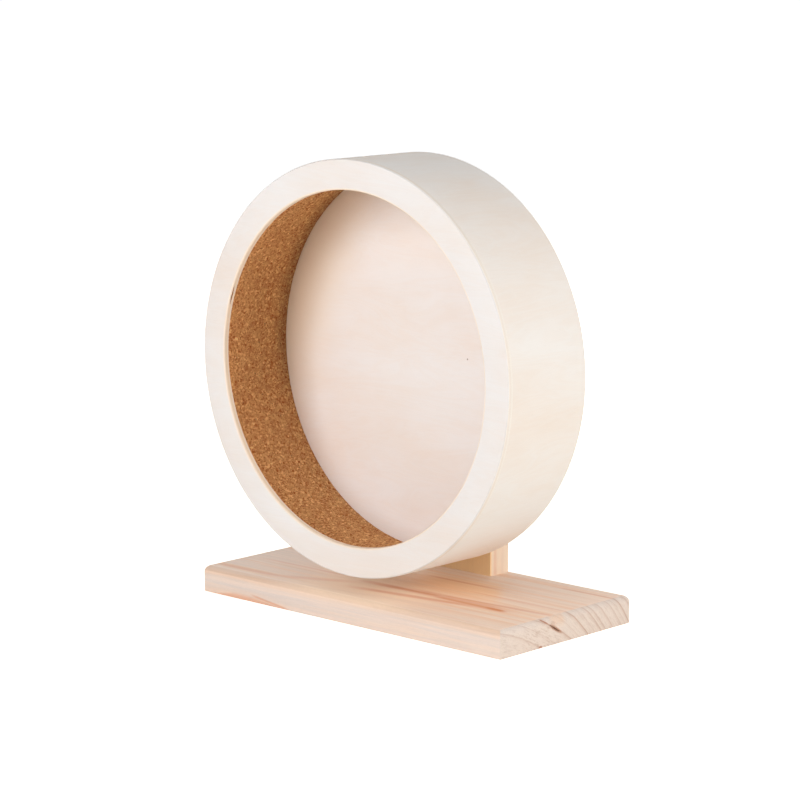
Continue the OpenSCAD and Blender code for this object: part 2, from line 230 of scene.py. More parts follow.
class Nodes:
    """Fills a tree by short calls. An input is a number, a vector, a colour or the Value of a node."""

    def __init__(self, tree):
        self.tree = tree

    def add(self, kind, inputs=None, **settings):
        """New node with its inputs by number or name."""
        node = self.tree.nodes.new(kind)
        for key, value in settings.items():
            setattr(node, key, value)
        for key, value in (inputs or {}).items():
            self.feed(node.inputs[key], value)
        return node

    def value(self, kind, inputs=None, output=0, **settings):
        """One output of a new node."""
        return Value(self, self.add(kind, inputs, **settings).outputs[output])

    def feed(self, socket, value):
        if isinstance(value, Value):
            self.tree.links.new(value.socket, socket)
        elif socket.type == "RGBA":
            socket.default_value = (*value[:3], 1.0)
        else:
            socket.default_value = value

    def math(self, operation, a, b=0.0):
        return self.value("ShaderNodeMath", {0: a, 1: b}, operation=operation)

    def vector_math(self, operation, a, b):
        return self.value("ShaderNodeVectorMath", {0: a, 1: b}, operation=operation)

    def most(self, *values):
        return reduce(lambda a, b: self.math("MAXIMUM", a, b), values)

    def least(self, *values):
        return reduce(lambda a, b: self.math("MINIMUM", a, b), values)

    def length(self, x, y):
        return self.math("SQRT", self.math("POWER", x, 2.0) + self.math("POWER", y, 2.0))

    def vector(self, x=0.0, y=0.0, z=0.0):
        return self.value("ShaderNodeCombineXYZ", {0: x, 1: y, 2: z})

    def parts(self, vector):
        return tuple(Value(self, part) for part in self.add("ShaderNodeSeparateXYZ", {0: vector}).outputs)

    def stretched(self, places, factors):
        """Vector of two or three places, each times a factor of its own."""
        return self.vector(*(place * factor for place, factor in zip(places, factors)))

    def step(self, value, low, high, first=0.0, last=1.0):
        """Smooth change from first to last while value goes from low to high."""
        return self.value("ShaderNodeMapRange", {0: value, 1: low, 2: high, 3: first, 4: last},
                          interpolation_type="SMOOTHSTEP")

    def line(self, distance, core, rim, strength=1.0, beyond=0.0):
        """Soft line or spot: strength up to core away from its middle on either side, beyond past rim."""
        return self.step(abs(distance), core, rim, strength, beyond)

    def noise(self, vector, scale, detail=2.0, roughness=0.5, distortion=0.0):
        return self.value("ShaderNodeTexNoise", {
            "Vector": vector, "Scale": scale, "Detail": detail, "Roughness": roughness,
            "Distortion": distortion})

    def grain_noise(self, places, factors, detail=2.0, roughness=0.5, distortion=0.0):
        """Noise whose grains are 1 / factor long in each direction."""
        return self.noise(self.stretched(places, factors), 1.0, detail, roughness, distortion)

    def cells(self, vector, scale):
        """Distance from the middle of a cell, and the cell's random colour."""
        node = self.add("ShaderNodeTexVoronoi", {"Vector": vector, "Scale": scale})
        return Value(self, node.outputs["Distance"]), Value(self, node.outputs["Color"])

    def rims(self, vector, scale):
        """Distance from the edge of a cell."""
        return self.value("ShaderNodeTexVoronoi", {"Vector": vector, "Scale": scale}, "Distance",
                          feature="DISTANCE_TO_EDGE")

    def blend(self, factor, a, b, mode="MIX"):
        return self.value("ShaderNodeMix", {0: factor, 6: a, 7: b}, 2, data_type="RGBA", blend_type=mode)

    def tinted(self, colour, factor):
        """A colour made lighter or darker by a factor."""
        return self.blend(1.0, colour, self.vector(factor, factor, factor), "MULTIPLY")

    def ramp(self, factor, stops):
        """Colour ramp; a stop is a place and a colour or a grey value."""
        node = self.add("ShaderNodeValToRGB", {0: factor})
        elements = node.color_ramp.elements
        while len(elements) < len(stops):
            elements.new(0.5)
        for element, (place, value) in zip(elements, stops):
            element.position = place
            element.color = (value, value, value, 1) if isinstance(value, float) else (*value, 1)
        return Value(self, node.outputs[0])

    def object_space(self):
        return self.value("ShaderNodeTexCoord", output="Object")

    def surface_normal(self):
        return self.value("ShaderNodeTexCoord", output="Normal")


def colours():
    return bpy.context.scene.wheel_colours


def sizes():
    return bpy.context.scene.wheel_sizes


def material(name, build, *details):
    """A material by name, made on first use by build(nodes, shader, *details)."""
    made = bpy.data.materials.get(name)
    if made:
        return made
    made = bpy.data.materials.new(name)
    made.use_nodes = True
    nodes = Nodes(made.node_tree)
    shader = made.node_tree.nodes["Principled BSDF"]
    build(nodes, shader, *details)
    return made


def dress(nodes, shader, colour, roughness, height, distance, specular=0.5, metallic=0.0):
    """Sets a surface: its colour and gloss, and the relief of a height from 0 to 1 that stands for the
    given distance."""
    nodes.feed(shader.inputs["Base Color"], colour)
    nodes.feed(shader.inputs["Roughness"], roughness)
    bump = nodes.value("ShaderNodeBump", {"Height": height, "Distance": distance})
    nodes.feed(shader.inputs["Normal"], bump)
    shader.inputs["Specular IOR Level"].default_value = specular
    shader.inputs["Metallic"].default_value = metallic


def axle_space(nodes):
    """Radius about the wheel's axis, angle round it, and y."""
    x, y, z = nodes.parts(nodes.object_space())
    x = x - AXLE.x
    z = z - AXLE.z
    return nodes.length(x, z), nodes.math("ARCTAN2", z, x), y


def grain_space(nodes, order):
    """Places along the grain, across it and through it; order gives their axes, such as XYZ."""
    axes = dict(zip("XYZ", nodes.parts(nodes.object_space())))
    return tuple(axes[letter] for letter in order)


# Plywood

# Colour of the painted shade, tinted by the cork's reflected colour, on the back disc's upper left.
CORK_BOUNCE_SHADE = srgb(229, 211, 191)
KNOT_BROWN = srgb(120, 100, 88)
PIN_KNOT = (40.4 * MM, 3.3 * MM)
SCARF_LEAN = 0.35


def veneer_colour(nodes, order, seed):
    """Colour and fibre height of a sanded pale veneer whose grain runs along order's first axis."""
    along, across, through = grain_space(nodes, order)
    grain = (along, across, through + seed)
    cloud = nodes.grain_noise(grain, (7.0, 16.0, 16.0), 3.0, 0.55)
    figure = nodes.grain_noise(grain, (9.0, 42.0, 42.0), 3.0, 0.6, 1.2)
    bands = nodes.math("SINE", figure * 46.0)
    fibre = nodes.grain_noise(grain, (90.0, 1900.0, 1900.0), 3.0, 0.65)
    pore, _ = nodes.cells(nodes.stretched(grain, (150.0, 1250.0, 1250.0)), 1.0)
    pore = nodes.step(pore, 0.04, 0.16, 1.0, 0.0)
    tint = nodes.step(cloud, 0.32, 0.72, 0.0, 0.85) + bands * 0.08
    colour = nodes.blend(tint, colours().veneer, colours().veneer_shade)
    shade = 1.0 + (fibre - 0.5) * 0.05 + pore * -0.07
    return nodes.tinted(colour, shade), fibre - pore * 0.6


def lay_veneer(nodes, shader, colour, height):
    """Sets the colour, the dull sheen and the fibre relief of a veneer."""
    dress(nodes, shader, colour, nodes.step(height, 0.2, 0.8, 0.72, 0.6), height, 0.04 * MM, 0.15)


def build_ring_face(nodes, shader):
    """Veneer of the ring's face, sanded through to the warmer core along its inner edge, and darker along its
    outer rim.
    """
    colour, height = veneer_colour(nodes, "XZY", 0.0)
    radius = axle_space(nodes)[0]
    inner_wear = nodes.step(radius, RING.inner + 1.6 * MM, RING.inner + 0.4 * MM, 0.0, 0.7)
    # The outer rim is made darker over its last millimetre.
    outer_rim_darkening = nodes.step(radius, RING.outer - 1.0 * MM, RING.outer - 0.3 * MM, 1.0, 0.85)
    colour = nodes.blend(inner_wear, colour, colours().ply_core)
    lay_veneer(nodes, shader, nodes.tinted(colour, outer_rim_darkening), height)


def build_disc_veneer(nodes, shader, order, seed):
    """Lighter veneer of the back disc, with painted shade tinted by the cork's reflected colour towards its
    upper left edge, and with a small pin knot at the right of its middle."""
    colour, height = veneer_colour(nodes, order, seed)
    x, y, z = nodes.parts(nodes.object_space())
    # Painted shade: the disc's front face darkens and takes the cork's reflected colour towards its upper
    # left edge.
    towards_edge = (z - AXLE.z) * 0.35 - x * 0.8
    front_face = nodes.step(y, DISC.front + 1 * MM, DISC.front + 0.5 * MM)
    painted_cork_shade = nodes.step(towards_edge, 58 * MM, 112 * MM) * front_face
    colour = nodes.tinted(nodes.blend(painted_cork_shade, colour, CORK_BOUNCE_SHADE), 1.07)
    knot = nodes.length(x - PIN_KNOT[0], z - (AXLE.z + PIN_KNOT[1]))
    colour = nodes.blend(nodes.step(knot, 0.35 * MM, 0.8 * MM, 0.75, 0.0), colour, KNOT_BROWN)
    lay_veneer(nodes, shader, colour, height)


def build_shell_veneer(nodes, shader, seam_angle):
    """Veneer of the bent drum shell, grain along the axis, with the scarf joint of the strip and painted warm
    bounce light on its underside.
    """
    colour, height = veneer_colour(nodes, "YXZ", 3.7)
    _, angle, y = axle_space(nodes)
    arc = (angle - seam_angle) * SHELL.outer - (y - SHELL.front) * SCARF_LEAN
    wander = (nodes.noise(nodes.object_space(), 160.0) - 0.5) * (0.7 * MM)
    seam = nodes.line(arc + wander, 0.08 * MM, 0.3 * MM)
    after = nodes.step(arc, 0.0, 0.2 * MM) * nodes.step(arc, 60 * MM, 10 * MM)
    colour = nodes.blend(after * 0.25, colour, colours().veneer_shade)
    colour = nodes.blend(seam * 0.55, colour, colours().ply_core)
    # Painted light: the shell's underside is made lighter and warmer, for the light the board bounces up; the
    # rest gets a slight warm tint of its own.
    painted_bounce = nodes.step(nodes.math("SINE", angle), -0.5, -0.9)
    tint_and_painted_bounce = nodes.blend(painted_bounce, (1.0, 0.99, 0.95), (1.06, 1.04, 0.99))
    colour = nodes.blend(1.0, colour, tint_and_painted_bounce, "MULTIPLY")
    lay_veneer(nodes, shader, colour, height - seam)


def build_ply_edge(nodes, shader, depth_of, layers, core, pale):
    """Cut edge of plywood. depth_of gives the depth through the layers; layers are the two depths
    between which the core lies; core is the colour of the cut core and pale that of the veneers."""
    radius, angle, y = axle_space(nodes)
    depth = radius - SHELL.inner if depth_of == "radius" else y - RING.front
    depth = depth + (nodes.noise(nodes.object_space(), 220.0) - 0.5) * (0.22 * MM)
    first, last = layers
    inside = (nodes.step(depth, first - 0.2 * MM, first + 0.25 * MM)
              * nodes.step(depth, last + 0.2 * MM, last - 0.25 * MM))
    glue = nodes.line(depth - first, 0.05 * MM, 0.14 * MM) + nodes.line(depth - last, 0.05 * MM, 0.14 * MM)
    fibres = nodes.grain_noise((angle, depth, radius), (260.0, 900.0, 300.0), 3.0, 0.6)
    pores = nodes.noise(nodes.object_space(), 2400.0, 2.0, 0.7)
    turn = nodes.step(abs(nodes.math("SINE", angle)), 0.1, 0.9)
    colour = nodes.blend(inside * (0.75 + turn * 0.25), pale, core)
    colour = nodes.blend(glue * 0.15, colour, core)
    shade = 1.0 + (fibres - 0.5) * 0.16 + (pores - 0.5) * (0.05 + inside * 0.12)
    dress(nodes, shader, nodes.tinted(colour, shade), 0.7, fibres + pores * 0.5 - glue * 0.8, 0.05 * MM, 0.25)


def build_void(nodes, shader):
    """Rough dark inside of the gap in the ring's core."""
    grit = nodes.noise(nodes.object_space(), 2600.0, 4.0, 0.7)
    colour = nodes.tinted(colours().ply_void, nodes.step(grit, 0.3, 0.7, 0.7, 1.25))
    dress(nodes, shader, colour, 0.95, grit, 0.2 * MM)


# Cork

GRANULE_TONES = ((0.0, 0.0), (0.12, 0.12), (0.4, 0.34), (0.72, 0.52), (0.9, 0.78), (1.0, 1.0))
PORE_BROWN = srgb(96, 56, 32)
# Where the painted shade in the cork's upper left corner lies, and how far it reaches out from the disc.
SHADE_CORNER_ANGLE = math.radians(148)
SHADE_CORNER_WIDTH = 16 * MM


def granule_cells(nodes, place, granule):
    """Random value of pressed cork granules and distance to the next granule. Some are small ones."""
    wander = nodes.noise(place, 0.7 / granule)
    shift = nodes.vector(wander * (granule * 0.5), wander * (granule * -0.4), 0.0)
    place = nodes.vector_math("ADD", place, shift)
    scales = (1.0 / granule, 2.1 / granule)
    chance, value, _ = nodes.parts(nodes.cells(place, scales[0])[1])
    fine_value = nodes.parts(nodes.cells(place, scales[1])[1])[1]
    pick = nodes.math("GREATER_THAN", chance, 0.48)
    rim, fine_rim = (nodes.rims(place, scale) for scale in scales)
    return value * pick + fine_value * (1.0 - pick), rim * pick + fine_rim * (1.0 - pick)


def build_cork(nodes, shader, granule):
    """Pressed cork with painted shade: darker towards the disc, and most of all in its corner at the upper
    left.
    """
    place = nodes.object_space()
    y = nodes.parts(place)[1]
    value, rim = granule_cells(nodes, place, granule)
    grit = nodes.noise(place, 1700.0, 3.0, 0.7)
    cloud = nodes.noise(place, 26.0, 3.0, 0.6)
    dark, light = colours().cork_dark, colours().cork_light
    colour = nodes.ramp(value, [(stop, tuple(a + (b - a) * share for a, b in zip(dark, light)))
                                for stop, share in GRANULE_TONES])
    pore_distance, pore_colour = nodes.cells(place, 0.28 / granule)
    pore = (nodes.step(pore_distance, 0.07, 0.13, 1.0, 0.0)
            * nodes.math("GREATER_THAN", nodes.parts(pore_colour)[0], 0.5))
    # Painted shade in the corner between the cork and the disc at the upper left.
    corner = (nodes.step(nodes.math("COSINE", axle_space(nodes)[1] - SHADE_CORNER_ANGLE), 0.55, 0.85)
              * nodes.step(y, CORK.back - SHADE_CORNER_WIDTH, CORK.back - 1 * MM))
    # The last term is painted shade: lighter at the front, darker towards the disc.
    shade = (1.09 + (grit - 0.5) * 0.55 + corner * -0.32 + (cloud - 0.5) * 0.2
             + nodes.step(rim, 0.0, 0.05, -0.12, 0.0) + nodes.step(y, CORK.front, CORK.back, 0.12, -0.1))
    colour = nodes.blend(pore * 0.7, nodes.tinted(colour, shade), PORE_BROWN)
    dress(nodes, shader, colour, nodes.step(value, 0.0, 1.0, 0.92, 0.78),
          nodes.step(rim, 0.0, 0.09) + grit * 0.5 + pore * -1.0, 0.12 * MM, 0.2)


# Pine

PITH_ACROSS = -95 * MM
PITH_UNDER = -105 * MM
PITH_LEAN = 0.05
RING_START = 105 * MM
RING_SPAN = 100 * MM
RING_FADE = 0.024
RING_EDGE = 0.006
BOARD_RINGS = ((0.205, 0.55), (0.372, 0.85), (0.528, 1.0), (0.634, 0.75), (0.73, 0.6), (0.874, 0.95),
               (0.94, 0.7))
FAINT_RINGS = ((0.29, 0.3), (0.448, 0.35), (0.583, 0.3), (0.668, 0.6), (0.802, 0.5), (0.838, 0.3))
POST_RINGS = ((0.06, 0.8), (0.14, 1.0), (0.235, 0.7), (0.315, 1.0), (0.41, 0.8), (0.52, 1.0), (0.66, 0.9))
# A row has the start and the end of a streak, each along and across the board, its half width and how
# far it fades in and out, all in millimetres, and its strength.
FACE_STREAKS = (
    (-12, -25.2, 50, -22.5, 3.0, 22, 12, 0.66),
    (42, -24.6, 104, -25.2, 3.0, 12, 5, 0.68),
    (84, -24.8, 106, -25.2, 2.6, 12, 5, 0.9),
    (20, -22.5, 104, -22.5, 5.0, 14, 20, 0.46),
    (44, -19.5, 138, -12.4, 1.9, 8, 40, 0.5),
    (-10, -42.6, 80, -28.0, 3.0, 18, 22, 0.5),
    (-132, -56.4, -74, -55.2, 2.6, 8, 12, 0.32),
    (-74, -53.5, -26, -33.0, 4.0, 16, 16, 0.25),
    (2, 17.5, 62, 18.5, 1.8, 12, 20, 0.45),
    (92, 50.5, 138, 51.5, 1.2, 14, 10, 0.40),
    (62, 2.0, 138, 2.6, 1.0, 20, 20, 0.3),
    (-118, -23.5, -40, -22.0, 1.6, 16, 16, 0.25))
# Colour of the painted light on the board's face in front of and under the wheel.
PAINTED_LIGHT_PINE = srgb(255, 230, 206)
# Amber of the board's patch, made lighter than the wood's own as painted light where the wheel shades it.
LIGHTENED_PATCH_AMBER = srgb(250, 200, 150)
POCKET_BROWN = srgb(168, 98, 60)
POST_TAN = srgb(231, 211, 193)


def growth_rings(nodes, distance, rings):
    """Latewood from 0 to 1 by the distance from the pith; rings are places and strengths of lines."""
    stops = [(0.0, 0.0)]
    for ring, strength in rings:
        stops += [(ring - RING_FADE, 0.0), (ring - RING_EDGE, 0.35 * strength), (ring, strength),
                  (ring + RING_EDGE, 0.0)]
    return nodes.ramp(distance, stops)


def streak(nodes, along, across, measures):
    """Soft line on a face, as a share from 0 to 1; for the measures see FACE_STREAKS."""
    start, start_across, end, end_across, half_width, fade_in, fade_out = (v * MM for v in measures)
    slope = (end_across - start_across) / (end - start)
    line = (along - start) * slope + start_across
    wander = nodes.grain_noise((along, across), (22.0, 60.0))
    off = across - line + (wander - 0.5) * (2.4 * MM)
    return (nodes.line(off, half_width * 0.15, half_width * 1.7)
            * nodes.step(along, start - fade_in, start + fade_in)
            * nodes.step(along, end + fade_out, end - fade_out))


def pine_fibres(nodes, grain):
    """Fine and coarse fibres along the grain, and the speckle of cut end grain."""
    return (nodes.grain_noise(grain, (55.0, 1700.0, 1700.0), 3.0, 0.65),
            nodes.grain_noise(grain, (9.0, 260.0, 260.0), 3.0, 0.6),
            nodes.grain_noise(grain, (300.0, 1500.0, 1500.0), 3.0, 0.7))


def dress_pine(nodes, shader, colour, shade, late, height):
    """Pine whose latewood lines are harder, so they are glossier and stand a little proud."""
    dress(nodes, shader, nodes.tinted(colour, shade), nodes.step(late, 0.0, 1.0, 0.62, 0.5), height,
          0.07 * MM, 0.3)


def board_rings(nodes, along, across, up):
    """Latewood of the board, with the distance from the pith and the angle round it."""
    bend = nodes.grain_noise((along, across, up), (5.0, 22.0, 22.0))
    ripple = nodes.grain_noise((along, across, up), (26.0, 150.0, 150.0))
    depth = up - ((along - BOARD_HIGH.x) * PITH_LEAN + PITH_UNDER)
    reach = nodes.step(along, BOARD_HIGH.x - 70 * MM, BOARD_HIGH.x - 8 * MM, 7 * MM, 0.4 * MM)
    distance = (nodes.length(across - PITH_ACROSS, depth) + (bend - 0.5) * reach
                + (ripple - 0.5) * (1.0 * MM))
    second_ring = RING_START + BOARD_RINGS[1][0] * RING_SPAN
    beside_pocket = nodes.line(distance - second_ring, 4 * MM, 11 * MM)
    distance = distance - (across + 17 * MM) * beside_pocket * 0.14
    place = (distance - RING_START) / RING_SPAN
    late = nodes.most(growth_rings(nodes, place, BOARD_RINGS), growth_rings(nodes, place, FAINT_RINGS))
    return late, distance, nodes.math("ARCTAN2", depth, across - PITH_ACROSS)


def front_mark(nodes, along, across, up):
    """Resin on the left of the board's front: a line that falls to the right, over a low hill."""
    falling = (along + 86 * MM) * -0.12 + 4.2 * MM
    line = (nodes.line(up - falling, 0.2 * MM, 1.2 * MM, 0.5)
            * nodes.step(along, -94 * MM, -84 * MM) * nodes.step(along, -52 * MM, -60 * MM))
    hill = (nodes.step(along, -132 * MM, -104 * MM, 0.4 * MM, 4.4 * MM)
            * nodes.step(along, -96 * MM, -54 * MM, 1.0, 0.15))
    sill = (nodes.step(up / hill, 0.35, 1.1, 0.45, 0.0)
            * nodes.step(along, -134 * MM, -126 * MM) * nodes.step(along, -50 * MM, -58 * MM))
    return nodes.most(line, sill) * nodes.step(across, BOARD_LOW.y + 8 * MM, BOARD_LOW.y + 1 * MM)


def end_pocket(nodes, along, across, up, speck, end_grain):
    """Stain round the resin pocket of the right end: a slot along a growth ring, its foot and its tail."""
    beside, above = across + 11.5 * MM, up - 10.5 * MM
    along_ring = beside * 0.86 + above * -0.51
    off_ring = beside * 0.51 + above * 0.86
    slot = nodes.length(along_ring / (8.8 * MM), off_ring / (1.6 * MM))
    foot = nodes.length((across + 26.3 * MM) / (2.2 * MM), (up - 0.9 * MM) / (1.0 * MM))
    tail = nodes.length((along_ring + 12.5 * MM) / (5.5 * MM), off_ring / (0.7 * MM))
    pocket = nodes.least(slot, foot, tail) + (speck - 0.5) * 0.5
    return nodes.step(pocket, 0.5, 1.1, 1.0, 0.0) * end_grain * nodes.step(along, 0.0, 50 * MM)


def build_board_pine(nodes, shader):
    """Flat-sawn pine board: rings round a pith under its front edge, amber streaks on its face."""
    along, across, up = grain_space(nodes, "XYZ")
    late, distance, turn = board_rings(nodes, along, across, up)
    dashes = nodes.grain_noise((distance, turn, along), (900.0, 24.0, 12.0), 2.0, 0.6)
    fibre, coarse, speck = pine_fibres(nodes, (along, across, up))
    bands = nodes.grain_noise((along, across, up), (3.5, 125.0, 60.0), 4.0, 0.62)
    x_normal, _, z_normal = nodes.parts(nodes.surface_normal())
    end_grain = nodes.step(abs(x_normal), 0.12, 0.5)
    sides = 1.0 - end_grain
    face = nodes.step(up, BOARD_HIGH.z - 5.5 * MM, BOARD_HIGH.z - 1.0 * MM) * sides
    # Painted light: the face in front of and under the wheel is made paler, and its amber bands fainter,
    # where the wheel shades it.
    pale = nodes.line(along, 25 * MM, 75 * MM) * face * nodes.step(across, 10 * MM, -20 * MM)
    brow = nodes.step(up, BOARD_HIGH.z - 8 * MM, BOARD_HIGH.z - 4.5 * MM) * sides * (1.0 - face)
    # Painted shade: the rounded upper edges are made darker and more amber, so that they catch less light.
    rounding = nodes.step(z_normal, 0.08, 0.4) * nodes.step(z_normal, 0.99, 0.86) * sides
    amber, resin_orange = colours().pine_amber, colours().pine_resin

    base = nodes.blend(nodes.step(coarse, 0.3, 0.7, 0.0, 0.5), colours().pine_early, colours().pine_tan)
    base = nodes.blend(face * nodes.step(along, -90 * MM, 20 * MM, 0.45, 0.8), base, colours().pine_tan)
    band_share = 0.2 + face * 0.22 + pale * -0.3
    base = nodes.blend(nodes.step(bands, 0.44, 0.66) * band_share * sides, base, amber)
    base = nodes.blend(pale * 0.9, base, PAINTED_LIGHT_PINE)
    # The rounding's share of amber, and its darker tint on the next line, are painted shade on the rounded
    # edges.
    base = nodes.blend(brow * 0.16 + rounding * 0.2, base, amber)
    base = nodes.tinted(base, nodes.step(rounding, 0.0, 1.0, 1.0, 0.89))
    base = nodes.blend(end_grain, base, colours().pine_end)
    # The amber patch is the wood's own; its lighter amber is painted light under the wheel.
    patch = nodes.length((along - 36 * MM) / (70 * MM), (across - 6 * MM) / (28 * MM)) + (coarse - 0.5) * 0.8
    right_edge = (across - 2 * MM) * -0.75 + 80 * MM
    patch = nodes.step(patch, 0.2, 1.2, 1.0, 0.0) * nodes.step(along - right_edge, 4 * MM, -8 * MM)
    base = nodes.blend(patch * face * 0.7, base, LIGHTENED_PATCH_AMBER)

    ring_share = end_grain * 0.66 + face * 0.05 + 0.07
    colour = nodes.blend(late * ring_share, base, colours().pine_late)
    marks = [streak(nodes, along, across, measures) * share for *measures, share in FACE_STREAKS]
    colour = nodes.blend(nodes.most(*marks) * face, colour, resin_orange)
    colour = nodes.blend(front_mark(nodes, along, across, up), colour, resin_orange)
    pocket = end_pocket(nodes, along, across, up, speck, end_grain)
    stain = nodes.line(across + 9 * MM, 4 * MM, 9 * MM) * nodes.step(up, 9 * MM, 17 * MM) * end_grain
    colour = nodes.blend(stain * nodes.step(speck, 0.3, 0.7, 0.15, 0.45), colour, amber)
    colour = nodes.blend(pocket * 0.75, colour, POCKET_BROWN)
    hairs = (nodes.line(across + 26 * MM, 6 * MM, 24 * MM, 0.3, 0.13)
             * nodes.step(dashes, 0.3, 0.5, 1.0, 0.0) * end_grain)
    colour = nodes.blend(hairs, colour, colours().pine_late)
    shade = (1.0 + (fibre - 0.5) * sides * 0.11 + (coarse - 0.5) * sides * 0.07
             + (dashes - 0.5) * end_grain * 0.12 + (speck - 0.5) * (0.16 + end_grain * 0.2))
    height = fibre * 0.5 + late * 0.6 + speck * end_grain * 0.8 + pocket * -1.5
    dress_pine(nodes, shader, colour, shade, late, height)


def build_post_pine(nodes, shader):
    """Pine of the post, its grain upright, sawn nearly along the rings' radius."""
    along, across, depth = grain_space(nodes, "ZXY")
    bend = nodes.grain_noise((along, across, depth), (6.0, 24.0, 24.0))
    distance = nodes.length(across + 72 * MM, depth - 118 * MM) + (bend - 0.5) * (6 * MM)
    late = growth_rings(nodes, (distance - 60 * MM) / RING_SPAN, POST_RINGS)
    fibre, coarse, speck = pine_fibres(nodes, (along, across, depth))
    bands = nodes.grain_noise((along, across, depth), (3.0, 140.0, 420.0), 3.0, 0.6)
    end_grain = nodes.step(abs(nodes.parts(nodes.surface_normal())[2]), 0.5, 0.85)
    base = nodes.blend(nodes.step(coarse, 0.3, 0.7, 0.5, 1.0), colours().pine_early, POST_TAN)
    heart = nodes.step(depth, POST_LOW.y + 0.2 * MM, POST_LOW.y + 2 * MM, 0.95, 0.3)
    base = nodes.blend(heart, base, colours().pine_heart)
    fire = (nodes.step(bands, 0.48, 0.62) * nodes.step(depth, POST_LOW.y, POST_LOW.y + 2 * MM)
            * nodes.step(depth, POST_LOW.y + 4 * MM, POST_LOW.y + 9 * MM, 0.26, 0.05))
    base = nodes.blend(fire, base, colours().pine_resin)
    ring_share = nodes.step(end_grain, 0.0, 1.0, 0.05, 0.55)
    colour = nodes.blend(late * ring_share, base, colours().pine_late)
    shade = 1.0 + (fibre - 0.5) * 0.11 + (coarse - 0.5) * 0.06 + (speck - 0.5) * (0.08 + end_grain * 0.12)
    dress_pine(nodes, shader, colour, shade, late, fibre * 0.5 + late * 0.6 + speck * end_grain * 0.8)


# Beech and metals

def build_beech(nodes, shader, order):
    """Turned beech: even pinkish tan with short dark flecks along the grain and soft rings."""
    grain = grain_space(nodes, order)
    rings = nodes.grain_noise(grain, (5.0, 60.0, 14.0), 3.0, 0.6, 0.6)
    fibre = nodes.grain_noise(grain, (70.0, 1500.0, 1500.0), 3.0, 0.65)
    distance, chance = nodes.cells(nodes.stretched(grain, (260.0, 1100.0, 700.0)), 1.0)
    dash = nodes.step(distance, 0.1, 0.3, 1.0, 0.0) * nodes.math("GREATER_THAN", nodes.parts(chance)[0], 0.55)
    bands = nodes.math("SINE", rings * 60.0)
    shade = 1.0 + bands * 0.05 + (fibre - 0.5) * 0.14 + dash * -0.22
    dress(nodes, shader, nodes.tinted(colours().beech, shade), nodes.step(fibre, 0.3, 0.7, 0.6, 0.48),
          fibre - dash * 0.7, 0.05 * MM, 0.35)


def build_metal(nodes, shader, colour, roughness, lathe_marks, spangle):
    """Plated or ground metal with turning marks round the axle and a mottled finish."""
    radius, angle, y = axle_space(nodes)
    marks = nodes.grain_noise((radius, y, angle), (5200.0, 5200.0, 1.5), 2.0, 0.6)
    mottle = nodes.noise(nodes.object_space(), 900.0, 3.0, 0.6)
    scratches = nodes.vector_math("MULTIPLY", nodes.object_space(), (350.0, 2600.0, 2600.0))
    scratch = nodes.noise(scratches, 1.0)
    shade = 1.0 + (mottle - 0.5) * spangle + (marks - 0.5) * 0.06
    dress(nodes, shader, nodes.tinted(colour, shade),
          roughness + (mottle - 0.5) * 0.22 + (scratch - 0.5) * 0.12,
          marks * lathe_marks + mottle * 0.4, 0.02 * MM, metallic=1.0)


def zinc():
    return material("zinc_plate", build_metal, colours().zinc, 0.3, 0.6, 0.1)


def bearing_steel():
    return material("ground_steel", build_metal, colours().steel, 0.16, 0.3, 0.03)


def cage_brass():
    return material("pressed_brass", build_metal, colours().brass, 0.3, 0.2, 0.08)


# Shapes

NEARLY_STRAIGHT = math.radians(89.5)


def fillet(before, corner, after, radius, steps):
    """Points of the arc that rounds one corner of an outline."""
    corner, before, after = Vector(corner), Vector(before), Vector(after)
    to_before, to_after = (before - corner).normalized(), (after - corner).normalized()
    half = to_before.angle(to_after) / 2
    if radius <= 0 or half > NEARLY_STRAIGHT:
        return [tuple(corner)]
    centre = corner + (to_before + to_after).normalized() * (radius / math.sin(half))
    first = corner + to_before * (radius / math.tan(half)) - centre
    last = corner + to_after * (radius / math.tan(half)) - centre
    sweep = first.angle(last)
    points = []
    for index in range(steps + 1):
        share = index / steps
        arm = (first * math.sin((1 - share) * sweep) + last * math.sin(share * sweep)) / math.sin(sweep)
        points.append(tuple(centre + arm))
    return points


def eased(corners, radii, steps):
    """Closed outline with every corner rounded by its own radius; 0 keeps a corner sharp."""
    points = []
    for index, (corner, radius) in enumerate(zip(corners, radii)):
        points += fillet(corners[index - 1], corner, corners[(index + 1) % len(corners)], radius, steps)
    return points


def tube_outline(size, radii, steps):
    """Outline of a round bar or tube, radius first and y second. The radii round its inner and outer
    corner at the front and its outer and inner corner at the back."""
    corners = [(size.inner, size.front), (size.outer, size.front), (size.outer, size.back),
               (size.inner, size.back)]
    return eased(corners, radii, steps)


def quarter_turn(steps):
    """Cosine and sine at even steps of a quarter turn."""
    turn = [math.pi / 2 * index / steps for index in range(steps + 1)]
    return [(math.cos(angle), math.sin(angle)) for angle in turn]


def joined_loops(name, loops, closed):
    """Mesh of equal loops of points joined in order; closed joins the last loop to the first, and
    otherwise both ends are capped."""
    size = len(loops[0])
    faces = []
    for row in range(len(loops) if closed else len(loops) - 1):
        here, there = row * size, (row + 1) % len(loops) * size
        for index in range(size):
            following = (index + 1) % size
            faces.append((here + index, here + following, there + following, there + index))
    if not closed:
        faces.append(tuple(range(size - 1, -1, -1)))
        faces.append(tuple(range((len(loops) - 1) * size, len(loops) * size)))
    mesh = bpy.data.meshes.new(name)
    mesh.from_pydata(np.concatenate(loops).tolist(), [], faces)
    return mesh


def turns(segments):
    return np.arange(segments) * (2 * math.pi / segments)


